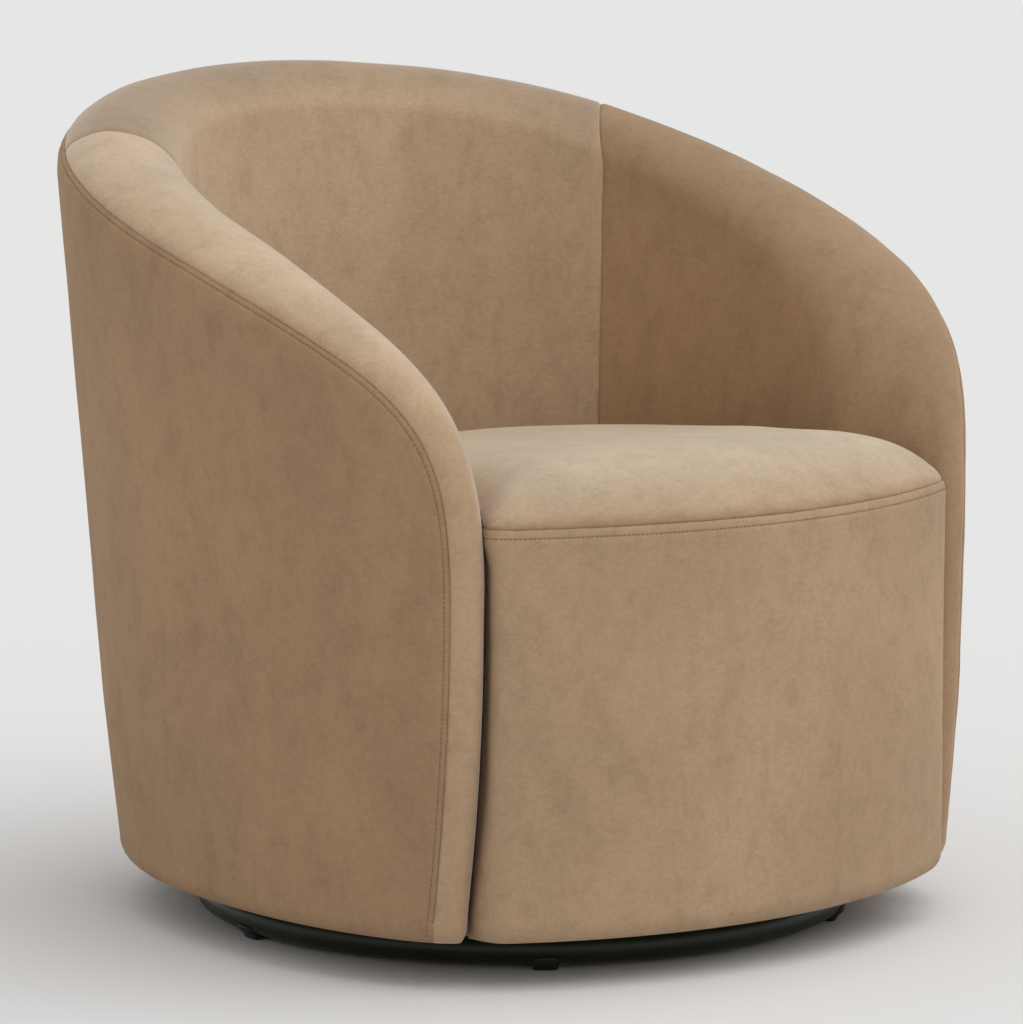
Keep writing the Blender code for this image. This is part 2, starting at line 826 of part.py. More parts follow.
def make_seat_frame():
    side_length = frame_back_y - frame_front_y - rail_width - 2 * gap
    middle_y = (frame_back_y + frame_front_y) / 2
    rail_z = rail_top - rail_height / 2
    support_top = rail_top - rail_height - gap
    for side, hand in ((1, "left"), (-1, "right")):
        size = (rail_width, side_length, rail_height)
        box("seat_rail_" + hand, size, (side * frame_half_width, middle_y, rail_z), chair_anchor, timber_look)
        size = (support_thickness, side_length, support_top - wall_bottom)
        location = (side * frame_half_width, middle_y, (support_top + wall_bottom) / 2)
        box("seat_support_" + hand, size, location, chair_anchor, ply_look)
    for y, hand in ((frame_front_y, "front"), (frame_back_y, "back")):
        size = (2 * frame_half_width + rail_width, rail_width, rail_height)
        box("seat_rail_" + hand, size, (0.0, y, rail_z), chair_anchor, timber_look)


def make_spring(index):
    """A zigzag spring of bent wire, from the front rail to the back rail."""
    span = 2 * (frame_half_width - rail_width / 2 - spring_side_clearance - spring_half_width)
    x_middle = (index / (spring_count - 1) - 0.5) * span
    start, end = frame_front_y, frame_back_y
    pitch = (end - start) / spring_bends
    z = rail_top + gap + spring_wire
    path = [(x_middle, start, z)]
    for bend in range(spring_bends):
        side = 1 if bend % 2 == 0 else -1
        middle = start + pitch * (bend + 0.5)
        for turn in (-54.0, -18.0, 18.0, 54.0):
            angle = math.radians(turn)
            x = x_middle + side * spring_half_width * (0.35 + 0.65 * math.cos(angle))
            path.append((x, middle + pitch * 0.56 * math.sin(angle), z))
    path.append((x_middle, end, z))
    curve = bpy.data.curves.new("spring_path", "CURVE")
    curve.dimensions = "3D"
    curve.bevel_depth = spring_wire
    curve.bevel_resolution = 1
    curve.use_fill_caps = True
    line = curve.splines.new("POLY")
    line.points.add(len(path) - 1)
    for point, position in zip(line.points, path):
        point.co = (*position, 1.0)
    wire = bpy.data.objects.new("spring_path", curve)
    mesh = bpy.data.meshes.new_from_object(wire)
    bpy.data.objects.remove(wire, do_unlink=True)
    shape = bmesh.new()
    shape.from_mesh(mesh)
    bmesh.ops.remove_doubles(shape, verts=shape.verts, dist=1e-6)
    bmesh.ops.recalc_face_normals(shape, faces=shape.faces)
    shape.to_mesh(mesh)
    shape.free()
    mesh.name = f"seat_spring_{index + 1}"
    place(mesh.name, mesh, chair_anchor, steel_look)


def make_base_board():
    inset = fabric + gap
    rings = []
    for level in range(4):
        back, height = edge_levels(inset)[level]
        half = [lowered(u, outer_fall[0], inset, level) for u in all_columns]
        half += [lowered(2.0, row, inset, level) for row in outer_roll]
        slot = seat_outline(height, -gap, back)
        drum = seat_outline(height, inset, back)
        for outline in (slot, drum):
            half.append(towards(outline[band_start], outline[band_start - 1], 2 * gap))
        rings.append(half + drum[band_start:])
    rings.append([Vector((p.x, p.y, board_top)) for p in rings[-1]])
    board = stacked("base_board", rings, None, None, fabric_look)
    bore = cylinder(
        "board_bore", base_board_bore, board_bottom - 0.01, board_top + 0.01, chair_anchor, None, cutters,
        sides=32,
    )
    cut(board, bore)
    return board


# Round base and swivel bearing
def make_ring():
    turns = [math.radians(90.0 - 360.0 * i / 10) for i in range(10)]
    profile = [
        (ring_radius + ring_tube_radius * math.cos(t), ring_height + ring_tube_radius * math.sin(t))
        for t in turns
    ]
    turned("base_ring", profile, base_anchor, paint_look, steps=60)
    wide = ring_tube_radius + gap
    profile = [(ring_radius + wide * math.cos(t), ring_height + wide * math.sin(t)) for t in turns]
    return turned("ring_clearance", profile, base_anchor, None, cutters, steps=60)


def make_bars(ring_clearance):
    height = bar_top - bar_height / 2
    reach = 2 * ring_radius
    bars = [box("cross_bar_long", (reach, bar_width, bar_height), (0.0, 0.0, height), base_anchor, paint_look)]
    length = ring_radius - bar_width / 2 - gap
    for side, name in ((-1, "cross_bar_front"), (1, "cross_bar_back")):
        middle = side * (bar_width / 2 + gap + length / 2)
        size = (bar_width, length, bar_height)
        bars.append(box(name, size, (0.0, middle, height), base_anchor, paint_look))
    for bar in bars:
        cut(bar, ring_clearance)
    return bars


def make_glides(ring_clearance):
    number = 1
    for side in (1, -1):
        for angle in glide_angles:
            x, y = on_circle(ring_radius, math.radians(side * angle))
            top = glide_height + glide_wrap
            name = f"glide_{number}"
            glide = cylinder(name, glide_radius, 0.0, top, base_anchor, plastic_look, xy=(x, y), sides=20)
            cut(glide, ring_clearance)
            number += 1


def race_arc(above):
    """Points of the ball groove's section, from its inner to its outer lip."""
    radius = ball_radius + gap
    side = 1 if above else -1
    flat = ball_radius - race_depth + gap
    half = math.degrees(math.acos(flat / radius))
    points = []
    for turn in (-half, -half / 2, 0.0, half / 2, half):
        angle = math.radians(turn)
        points.append((race_radius + radius * math.sin(angle), ball_height + side * radius * math.cos(angle)))
    return points


def make_plates():
    bore = pin_radius + gap
    top, bottom = lower_plate_bottom + plate_thickness, lower_plate_bottom
    profile = [(bore, top)] + race_arc(False) + [(plate_radius, top), (plate_radius, bottom), (bore, bottom)]
    lower = turned("swivel_lower_plate", profile, base_anchor, zinc_look)
    top, bottom = upper_plate_bottom + plate_thickness, upper_plate_bottom
    profile = [(bore, top), (plate_radius, top), (plate_radius, bottom)] + race_arc(True)[::-1]
    upper = turned("swivel_upper_plate", profile + [(bore, bottom)], chair_anchor, zinc_look)
    return lower, upper


def make_cage():
    inner, outer = race_radius - cage_width / 2, race_radius + cage_width / 2
    top, bottom = ball_height + cage_thickness / 2, ball_height - cage_thickness / 2
    profile = [(inner, top), (outer, top), (outer, bottom), (inner, bottom)]
    cage = turned("ball_cage", profile, cage_anchor, nylon_look)
    for number in range(ball_count):
        x, y = on_circle(race_radius, 2 * math.pi * (number + 0.5) / ball_count)
        shape = bmesh.new()
        bmesh.ops.create_uvsphere(shape, u_segments=12, v_segments=6, radius=ball_radius)
        mesh = bpy.data.meshes.new(f"bearing_ball_{number + 1}")
        shape.to_mesh(mesh)
        shape.free()
        ball = place(mesh.name, mesh, cage_anchor, steel_look)
        ball.location = (x, y, ball_height)
        pocket = cylinder(
            f"ball_pocket_{number + 1}", ball_radius + gap, bottom - 0.002, top + 0.002, cage_anchor, None,
            cutters, xy=(x, y), sides=12,
        )
        cut(cage, pocket)


def make_pin(bars):
    foot = bar_top - bar_height + 0.003
    head = upper_plate_bottom + plate_thickness + gap
    profile = [
        (0.0, head + pin_head_height),
        (pin_head_radius - 0.001, head + pin_head_height),
        (pin_head_radius, head + pin_head_height - 0.001),
        (pin_head_radius, head),
        (pin_radius, head),
        (pin_radius, foot),
        (0.0, foot),
    ]
    turned("king_pin", profile, base_anchor, steel_look, steps=24)
    hole = cylinder("pin_hole", pin_radius + gap, foot - gap, head, base_anchor, None, cutters, sides=24)
    cut(bars[0], hole)


def make_bolt(name, head_bottom, upwards, xy, anchor, plate, receiver):
    """A bolt whose head bears on a plate and whose shank runs through it into the piece behind."""
    head_top = head_bottom + bolt_head_height
    if upwards:
        tip = head_top + bolt_length
        profile = [
            (0.0, tip),
            (bolt_radius, tip),
            (bolt_radius, head_top),
            (bolt_head_radius, head_top),
            (bolt_head_radius, head_bottom),
            (0.0, head_bottom),
        ]
        hole = (head_top, tip + gap)
    else:
        tip = head_bottom - bolt_length
        profile = [
            (0.0, head_top),
            (bolt_head_radius, head_top),
            (bolt_head_radius, head_bottom),
            (bolt_radius, head_bottom),
            (bolt_radius, tip),
            (0.0, tip),
        ]
        hole = (tip - gap, head_bottom)
    turned(name, profile, anchor, zinc_look, steps=12, xy=xy)
    cutter = cylinder(name + "_hole", bolt_radius + gap, *hole, anchor, None, cutters, xy=xy, sides=12)
    cutter.rotation_euler[2] = math.radians(4.0)
    cut(plate, cutter)
    cut(receiver, cutter)


def make_bolts(lower, upper, bars, board):
    long_bar, front_bar, back_bar = bars
    receivers = (front_bar, long_bar, back_bar, long_bar)
    for number in range(4):
        xy = on_circle(lower_bolt_circle, math.radians(90.0 * number))
        head = lower_plate_bottom + plate_thickness + gap
        make_bolt(f"lower_plate_bolt_{number + 1}", head, False, xy, base_anchor, lower, receivers[number])
        xy = on_circle(upper_bolt_circle, math.radians(90.0 * number + 45.0))
        head = upper_plate_bottom - gap - bolt_head_height
        make_bolt(f"upper_plate_bolt_{number + 1}", head, True, xy, chair_anchor, upper, board)


make_outside_cover()
make_inside_covers()
wall_foams = make_wall_foam()
make_shell_board()
make_posts(*wall_foams)
make_seat()
make_front_band_cover()
make_front_foam()
make_front_panel()
make_seat_frame()
for spring in range(spring_count):
    make_spring(spring)
base_board = make_base_board()
ring_clearance = make_ring()
cross_bars = make_bars(ring_clearance)
make_glides(ring_clearance)
plates = make_plates()
make_cage()
make_pin(cross_bars)
make_bolts(*plates, cross_bars, base_board)
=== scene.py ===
import math

import bmesh
import bpy
import numpy as np
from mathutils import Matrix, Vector, noise


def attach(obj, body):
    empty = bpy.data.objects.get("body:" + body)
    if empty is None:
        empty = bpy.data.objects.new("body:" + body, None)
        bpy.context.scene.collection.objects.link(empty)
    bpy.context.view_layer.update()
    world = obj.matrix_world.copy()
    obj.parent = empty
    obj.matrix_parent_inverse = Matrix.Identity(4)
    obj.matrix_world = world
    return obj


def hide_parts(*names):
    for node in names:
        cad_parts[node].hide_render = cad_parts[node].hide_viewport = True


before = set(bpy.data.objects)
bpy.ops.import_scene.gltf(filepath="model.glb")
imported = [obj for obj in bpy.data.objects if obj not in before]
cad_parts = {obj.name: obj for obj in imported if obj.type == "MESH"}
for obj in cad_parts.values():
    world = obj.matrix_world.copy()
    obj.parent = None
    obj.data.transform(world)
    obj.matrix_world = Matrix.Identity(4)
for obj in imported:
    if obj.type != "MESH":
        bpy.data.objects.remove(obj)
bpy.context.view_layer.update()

# Sizes of the CAD model, in metres. Angles run round the swivel axis, from the middle of the back
shell_half_width = 0.3686
shell_half_depth = 0.4075
shell_roundness = 2.22
front_roundness = 2.348
lean_height = 0.293
back_lean = 0.092
front_lean = 0.0067
swivel_axis_y = -0.0420
back_height = 0.757
knot_angle = math.radians(82.28)
knot_height = 0.6526
knot_fall = 0.1068
back_flatness = 0.4049
knot_reach = 0.3365
arm_angle = math.radians(136.09)
arm_turn_height = 0.3429
arm_reach = 0.8747
arm_drop = 0.5574
arm_sweep = math.radians(2.445)
sweep_power = 2.0
wall_thickness = 0.114
rim_depth = 0.044
tip_setback = 0.030
tip_depth_outside = 0.050
tip_depth_inside = 0.075
seam_roll = 60.0
inside_seam_angle = math.radians(53.0)
foot_draw = 0.004
foot_draw_height = 0.13
fabric = 0.002
lower_edge_radius = 0.018
wall_bottom = 0.0609
skirt_height = 0.0396
drum_bulge = 0.0674
drum_corner_inside = 0.0130
drum_corner_ahead = 0.0215
drum_corner = 0.030
arm_clearance = 0.0012
seat_clearance = 0.003
seam_height = 0.402
seam_draw = 0.0025
crown_height = 0.0524
crown_power = 5.7
crown_softness = 0.89
crown_setback = 0.2097
crown_side_margin = 0.012
crown_front_margin = 0.008
crown_back_margin = 0.004
crown_blend = 0.80
crown_evenness = 0.65
seat_slope = 0.0774
slope_setback = 0.1215
glide_height = 0.0045
ring_radius = 0.2893
ring_tube_radius = 0.0145
glide_angles = (35.0, 95.0, 152.0)

hem_radius = lower_edge_radius + fabric
edge_centre = skirt_height + hem_radius

# Sizes that only the scene has
padded_thickness = 0.010
seam_allowance = 0.004
seam_lean = 0.034              # How far the arm seam runs back over the rim, in rim stations
lean_start_roll = -45.0
lean_power = 1.95
hem_tip_share = 0.35           # How much of the hem's draw the tips of the arms take
outside_stitch_setback = 0.0057
band_stitch_setback = 0.0085
least_half_width = 0.001

# Steps and spans of the searches along the rim
slope_step = 0.001
search_steps = 40
rim_length_steps = 60
foot_search_span = 1.4


# Camera at the photograph's view
view_azimuth = math.radians(-38.59)
view_elevation = math.radians(8.02)
view_distance = 5.238
view_shift = -0.01145
view_height = 0.3632
focal_length_in_pixels = 5713.9
photo_size_in_pixels = 1024.0
sensor_width = 36.0
view_target = Vector((
    math.cos(view_azimuth) * view_shift,
    math.sin(view_azimuth) * view_shift + swivel_axis_y,
    view_height,
))
back_way = Vector((
    math.sin(view_azimuth) * math.cos(view_elevation),
    -math.cos(view_azimuth) * math.cos(view_elevation),
    math.sin(view_elevation),
))
camera_data = bpy.data.cameras.new("camera")
camera_data.lens = focal_length_in_pixels * sensor_width / photo_size_in_pixels
camera_data.sensor_width = sensor_width
camera_data.clip_start = 0.1
camera_data.clip_end = 100.0
camera = bpy.data.objects.new("camera", camera_data)
bpy.context.scene.collection.objects.link(camera)
camera.location = view_target + back_way * view_distance
camera.rotation_mode = "QUATERNION"
camera.rotation_quaternion = (-back_way).to_track_quat("-Z", "Y")
bpy.context.scene.camera = camera


# Shape of the wall, as in the CAD model. A side is -1 outside and +1 inside
def spread(start, end, count):
    """Evenly spaced values from start to end, both included."""
    return [start + (end - start) * i / count for i in range(count + 1)]


def smooth(share):
    return share * share * (3 - 2 * share)


def plan_radius(theta):
    x = abs(math.sin(theta)) / shell_half_width
    y = abs(math.cos(theta)) / shell_half_depth
    power = front_roundness if math.cos(theta) < 0 else shell_roundness
    return (x**power + y**power) ** (-1.0 / power)


def outer_radius(theta, z):
    lean = front_lean + (back_lean - front_lean) * (0.5 + 0.5 * math.cos(theta))
    return plan_radius(theta) + lean * (z - lean_height)


def towards_tip(u, at_back, at_tip):
    """A size that changes along the arm, from the knot of the rim to the arm's front."""
    return at_back + (at_tip - at_back) * smooth(min(max(2 * u - 1, 0.0), 1.0))


def half_width(u, side):
    setback = towards_tip(u, wall_thickness / 2, tip_setback)
    return setback if side < 0 else wall_thickness - setback


def roll_depth(u, side):
    return towards_tip(u, rim_depth, tip_depth_outside if side < 0 else tip_depth_inside)


def edge_radius(u, theta, z):
    return outer_radius(theta, z) - half_width(u, -1)


def foot_draw_at(z):
    return foot_draw * max(0.0, 1 - (z - wall_bottom) / foot_draw_height)


def bezier(controls, t):
    a, b, c, d = controls
    s = 1.0 - t
    return s**3 * a + 3 * s * s * t * b + 3 * s * t * t * c + t**3 * d


def rim(u):
    """Angle and height of the wall's edge at u: 0 mid back, 1 at the arm's turn, 2 at its foot."""
    if u <= 0.5:
        angles = (0.0, knot_angle * back_flatness, knot_angle * (1 - knot_reach), knot_angle)
        rise = knot_fall * knot_angle * knot_reach
        heights = (back_height, back_height, knot_height + rise, knot_height)
        return bezier(angles, 2 * u), bezier(heights, 2 * u)
    if u <= 1.0:
        span = arm_angle - knot_angle
        drop = knot_fall * span * arm_reach
        fall = (knot_height - arm_turn_height) * arm_drop
        angles = (knot_angle, knot_angle + span * arm_reach, arm_angle, arm_angle)
        heights = (knot_height, knot_height - drop, arm_turn_height + fall, arm_turn_height)
        return bezier(angles, 2 * u - 1), bezier(heights, 2 * u - 1)
    down = u - 1.0
    theta = arm_angle - arm_sweep * down**sweep_power
    return theta, arm_turn_height + (wall_bottom - arm_turn_height) * down


def rim_inward(u):
    """The way from the edge into the wall: along it round the axis, and upwards."""
    if u <= 0.0:
        return 0.0, -1.0
    if u >= 1.0:
        return -1.0, 0.0
    before, after = rim(u - slope_step), rim(min(u + slope_step, 1.0))
    along = (after[0] - before[0]) * edge_radius(u, *rim(u))
    down = after[1] - before[1]
    length = math.hypot(along, down)
    return down / length, -along / length


def below_rim(u, depth):
    theta, z = rim(u)
    along, up = rim_inward(u)
    return theta + along * depth / edge_radius(u, theta, z), z + up * depth


def find(low, high, is_before):
    """The value at which a condition stops being true, by halving."""
    for _ in range(search_steps):
        mid = (low + high) / 2
        if is_before(mid):
            low = mid
        else:
            high = mid
    return low


def rim_length(u):
    stations = [rim(u * i / rim_length_steps) for i in range(rim_length_steps + 1)]
    total = 0.0
    for a, b in zip(stations, stations[1:]):
        total += math.hypot((b[0] - a[0]) * outer_radius(*b), b[1] - a[1])
    return total


seam_column = find(0.0, 1.0, lambda u: below_rim(u, rim_depth)[0] < inside_seam_angle)
seam_length = rim_length(seam_column)
foot_length = rim_length(2.0)
foot_angles = {side: below_rim(2.0, roll_depth(2.0, side))[0] for side in (-1, 1)}
known_feet = {}

# The drum's front is an arc between two corners that stand before the inner edges of the arms
tip_angle, tip_height = rim(1.0)
tip_radius = edge_radius(1.0, tip_angle, tip_height)
drum_corner_x = tip_radius * math.sin(tip_angle) - drum_corner_inside
drum_corner_y = tip_radius * math.cos(tip_angle) - drum_corner_ahead
drum_radius = (drum_corner_x**2 + drum_bulge**2) / (2 * drum_bulge)
drum_front_y = drum_corner_y - drum_bulge
drum_centre_y = drum_front_y + drum_radius
drum_end_angle = math.asin(drum_corner_x / drum_radius)
seat_half_width = shell_half_width - wall_thickness
seat_back_y = shell_half_depth - wall_thickness
crown_centre_y = drum_front_y + crown_setback


def foot_of(u, side):
    """The angle at which a column of the wall's side ends at the bottom."""
    if (u, side) not in known_feet:
        if u <= seam_column:
            known_feet[u, side] = below_rim(u, rim_depth)[0]
        else:
            share = (rim_length(u) - seam_length) / (foot_length - seam_length)
            known_feet[u, side] = inside_seam_angle + (foot_angles[side] - inside_seam_angle) * share
    return known_feet[u, side]


def round_axis(radius, theta, z):
    return radius * math.sin(theta), radius * math.cos(theta) + swivel_axis_y, z


def wall_point(u, side, roll, fall=0.0, inset=0.0):
    """A point of the wall's surface.

    roll goes from 0 at the edge to 90 where the side begins, then fall from 0 to 1 at the bottom."""
    depth = roll_depth(u, side)
    turn = math.radians(roll)
    ahead = inset * hem_tip_share
    theta, z = below_rim(u, ahead + (depth - ahead) * (1 - math.cos(turn)))
    if roll == 90.0:
        theta += (foot_of(u, side) - theta) * fall
        z += (wall_bottom - z) * fall
    drawn = foot_draw_at(z) if side < 0 else 0.0
    half = max(half_width(u, side) - inset - drawn, least_half_width) * math.sin(turn)
    return round_axis(edge_radius(u, theta, z) - side * half, theta, z)


# Mesh helpers
merge_distance = 0.00004
collapse_distance = 1e-6
nearly_zero = 1e-9
no_area = 1e-12


def grid_faces(columns, rows, start=0, flip=False):
    faces = []
    for i in range(columns - 1):
        for j in range(rows - 1):
            a, b = start + i * rows + j, start + (i + 1) * rows + j
            face = (a, b, b + 1, a + 1)
            faces.append(face[::-1] if flip else face)
    return faces


def grid_normals(points):
    """Unit normals of a grid of points, columns across rows, by central differences."""
    along = np.gradient(points, axis=0)
    down = np.gradient(points, axis=1)
    normals = np.cross(along, down)
    lengths = np.linalg.norm(normals, axis=2, keepdims=True)
    normals = np.where(lengths > no_area, normals / np.maximum(lengths, no_area), 0.0)
    flat = lengths[:, :, 0] <= no_area
    for i, j in zip(*np.nonzero(flat)):
        k = j
        while k > 0 and flat[i, k]:
            k -= 1
        normals[i, j] = normals[i, k]
    return normals


def arc_from_start(points, axis):
    """Distance along the rows (axis 1) or the columns (axis 0) from the first one."""
    steps = np.linalg.norm(np.diff(points, axis=axis), axis=2)
    shape = list(points.shape[:2])
    shape[axis] = 1
    return np.concatenate([np.zeros(shape), np.cumsum(steps, axis=axis)], axis=axis)


def new_mesh(name, vertices, faces):
    mesh = bpy.data.meshes.new(name)
    mesh.from_pydata(vertices, [], faces)
    return mesh


def new_piece(name, mesh, material):
    mesh.shade_smooth()
    mesh.materials.append(material)
    piece = bpy.data.objects.new(name, mesh)
    bpy.context.scene.collection.objects.link(piece)
    return piece


def face_outwards(mesh):
    shape = bmesh.new()
    shape.from_mesh(mesh)
    bmesh.ops.recalc_face_normals(shape, faces=shape.faces)
    shape.to_mesh(mesh)
    shape.free()


def build(name, patches, thickness, material, mirror=True):
    """Join patches of (points, flip) into a piece, mirrored at the middle plane, with a thickness."""
    vertices, faces = [], []
    for points, flip in patches:
        columns, rows = points.shape[:2]
        faces += grid_faces(columns, rows, len(vertices), flip)
        vertices += [tuple(p) for p in points.reshape(-1, 3)]
    mesh = new_mesh(name, vertices, faces)
    shape = bmesh.new()
    shape.from_mesh(mesh)
    bmesh.ops.remove_doubles(shape, verts=shape.verts, dist=merge_distance)
    if mirror:
        copy = bmesh.ops.duplicate(shape, geom=shape.verts[:] + shape.edges[:] + shape.faces[:])
        for v in [g for g in copy["geom"] if isinstance(g, bmesh.types.BMVert)]:
            v.co.x = -v.co.x
        turned = [g for g in copy["geom"] if isinstance(g, bmesh.types.BMFace)]
        bmesh.ops.reverse_faces(shape, faces=turned)
        bmesh.ops.remove_doubles(shape, verts=shape.verts, dist=merge_distance)
    bmesh.ops.dissolve_degenerate(shape, edges=shape.edges, dist=collapse_distance)
    shape.to_mesh(mesh)
    shape.free()
    piece = new_piece(name, mesh, material)
    if thickness:
        solid = piece.modifiers.new("thickness", "SOLIDIFY")
        solid.thickness = thickness
        solid.offset = -1.0
        solid.use_even_offset = False
    return piece


# Relief of the fabric, as heights above the plain surface
shoulder_depth = 0.4           # The wider dip beside a seam, as shares of the seam's depth and width
shoulder_width = 3.5
swell_distance = 0.010
swell_width = 0.007
stitch_channel_width = 0.0013
ripple_height = 0.45           # The finer swelling, as shares of the slow one
ripple_scale = 2.3
softness_steps = (7.31, 3.77, 5.13)
pucker_reach = 0.12
pucker_spacing = 0.017
pucker_length = 0.11
pucker_fade = 0.032
pucker_step = 9.1
floor_fade = 0.10


def softness(points, amount, size, seed):
    """Slow irregular swelling of the padding, from smooth noise."""
    shift = Vector([seed * step for step in softness_steps])
    values = np.empty(points.shape[:2])
    for i in range(points.shape[0]):
        for j in range(points.shape[1]):
            place = Vector(points[i, j]) / size + shift
            values[i, j] = noise.noise(place) + ripple_height * noise.noise(place * ripple_scale)
    return values * amount


def seam_shape(distance, depth=0.0013, width=0.0011, swell=0.0005):
    """Height of the fabric near a seam it turns down into, by distance from the seam."""
    return (
        -depth * np.exp(-((distance / width) ** 2))
        - shoulder_depth * depth * np.exp(-((distance / (shoulder_width * width)) ** 2))
        + swell * np.exp(-(((distance - swell_distance) / swell_width) ** 2))
    )


def stitch_shape(distance, setback, depth=0.0008):
    """The shallow channel that a line of topstitching pulls into the fabric."""
    return -depth * np.exp(-(((distance - setback) / stitch_channel_width) ** 2))


def puckers(points, along, distance, amount, seed):
    """Small pulls that a seam leaves across itself, fading away from it."""
    values = np.empty(points.shape[:2])
    for i in range(points.shape[0]):
        for j in range(points.shape[1]):
            if distance[i, j] > pucker_reach:
                values[i, j] = 0.0
                continue
            place = Vector((
                along[i, j] / pucker_spacing + seed * pucker_step,
                distance[i, j] / pucker_length,
                seed,
            ))
            values[i, j] = noise.noise(place) * math.exp(-distance[i, j] / pucker_fade)
    return values * amount


def near_floor(points):
    """0 at the wall's bottom, 1 well above it."""
    return np.clip((points[:, :, 2] - wall_bottom) / floor_fade, 0.0, 1.0)


def eased(share):
    return smooth(np.clip(share, 0.0, 1.0))


def stitched_relief(points, setback, softness_amount, pucker_amount, seed):
    """Relief of a cover below a seam that has a line of stitches beside it."""
    from_seam, along_seam = arc_from_start(points, 1), arc_from_start(points, 0)
    height = seam_shape(from_seam) + stitch_shape(from_seam, setback)
    height += softness(points, softness_amount, size=0.12, seed=seed) * near_floor(points)
    return height + puckers(points, along_seam, from_seam, pucker_amount, seed)


def inside_relief(points, from_side_seam, softness_share, seed):
    """Relief of an inside cover, which has a seam along its first row and another at one side."""
    from_seam, along_seam = arc_from_start(points, 1), arc_from_start(points, 0)
    height = seam_shape(from_seam) + seam_shape(from_side_seam, swell=0.0003)
    height += softness(points, amount=0.0013, size=0.13, seed=seed) * softness_share
    height += puckers(points, along_seam, from_seam, amount=0.0005, seed=seed)
    return height + puckers(points, from_seam, from_side_seam, amount=0.0006, seed=seed + 0.5)


# Materials
def node_material(name):
    material = bpy.data.materials.new(name)
    material.use_nodes = True
    tree = material.node_tree
    shader = tree.nodes["Principled BSDF"]
    return material, tree, shader


def add(tree, kind, **values):
    node = tree.nodes.new(kind)
    for key, value in values.items():
        setattr(node, key, value)
    return node


def set_inputs(node, values):
    for name, value in values.items():
        node.inputs[name].default_value = value


def noise_node(tree, source, scale, detail, roughness, stretch=None, distortion=0.0):
    texture = add(tree, "ShaderNodeTexNoise")
    set_inputs(texture, {
        "Scale": scale, "Detail": detail, "Roughness": roughness, "Distortion": distortion,
    })
    if stretch:
        mapping = add(tree, "ShaderNodeMapping")
        set_inputs(mapping, {"Scale": stretch})
        tree.links.new(source, mapping.inputs["Vector"])
        source = mapping.outputs["Vector"]
    tree.links.new(source, texture.inputs["Vector"])
    return texture.outputs["Fac"]


def ramp(tree, source, stops):
    node = add(tree, "ShaderNodeValToRGB")
    elements = node.color_ramp.elements
    while len(elements) < len(stops):
        elements.new(0.5)
    for element, (position, color) in zip(elements, stops):
        element.position = position
        element.color = (*color, 1.0)
    tree.links.new(source, node.inputs["Fac"])
    return node.outputs["Color"]


def toned(tree, color, source, stops, factor=1.0):
    """A colour multiplied by a ramp over a pattern. Sockets 6, 7 and 2 are a mix node's colours."""
    tone = ramp(tree, source, stops)
    node = add(tree, "ShaderNodeMix", data_type="RGBA", blend_type="MULTIPLY")
    node.inputs[0].default_value = factor
    tree.links.new(color, node.inputs[6])
    tree.links.new(tone, node.inputs[7])
    return node.outputs[2]


def bumped(tree, pattern, strength, distance, under=None):
    """The normal of a bump, laid over another normal where one is given."""
    node = add(tree, "ShaderNodeBump")
    set_inputs(node, {"Strength": strength, "Distance": distance})
    tree.links.new(pattern, node.inputs["Height"])
    if under is not None:
        tree.links.new(under, node.inputs["Normal"])
    return node.outputs["Normal"]


white = (1.0, 1.0, 1.0)
velvet_color = (0.375, 0.243, 0.143)
cloud_levels = (0.92, 1.08)
cloud_positions = (0.36, 0.64)
smudge_stops = ((0.34, (0.80, 0.77, 0.74)), (0.50, white), (0.70, (1.08, 1.08, 1.08)))
mottle_stops = ((0.30, (0.92, 0.91, 0.90)), (0.70, (1.06, 1.06, 1.06)))
grain_stops = ((0.30, (0.86, 0.85, 0.84)), (0.72, (1.10, 1.10, 1.10)))
pattern_steps = (1.7, 0.9, 2.3)


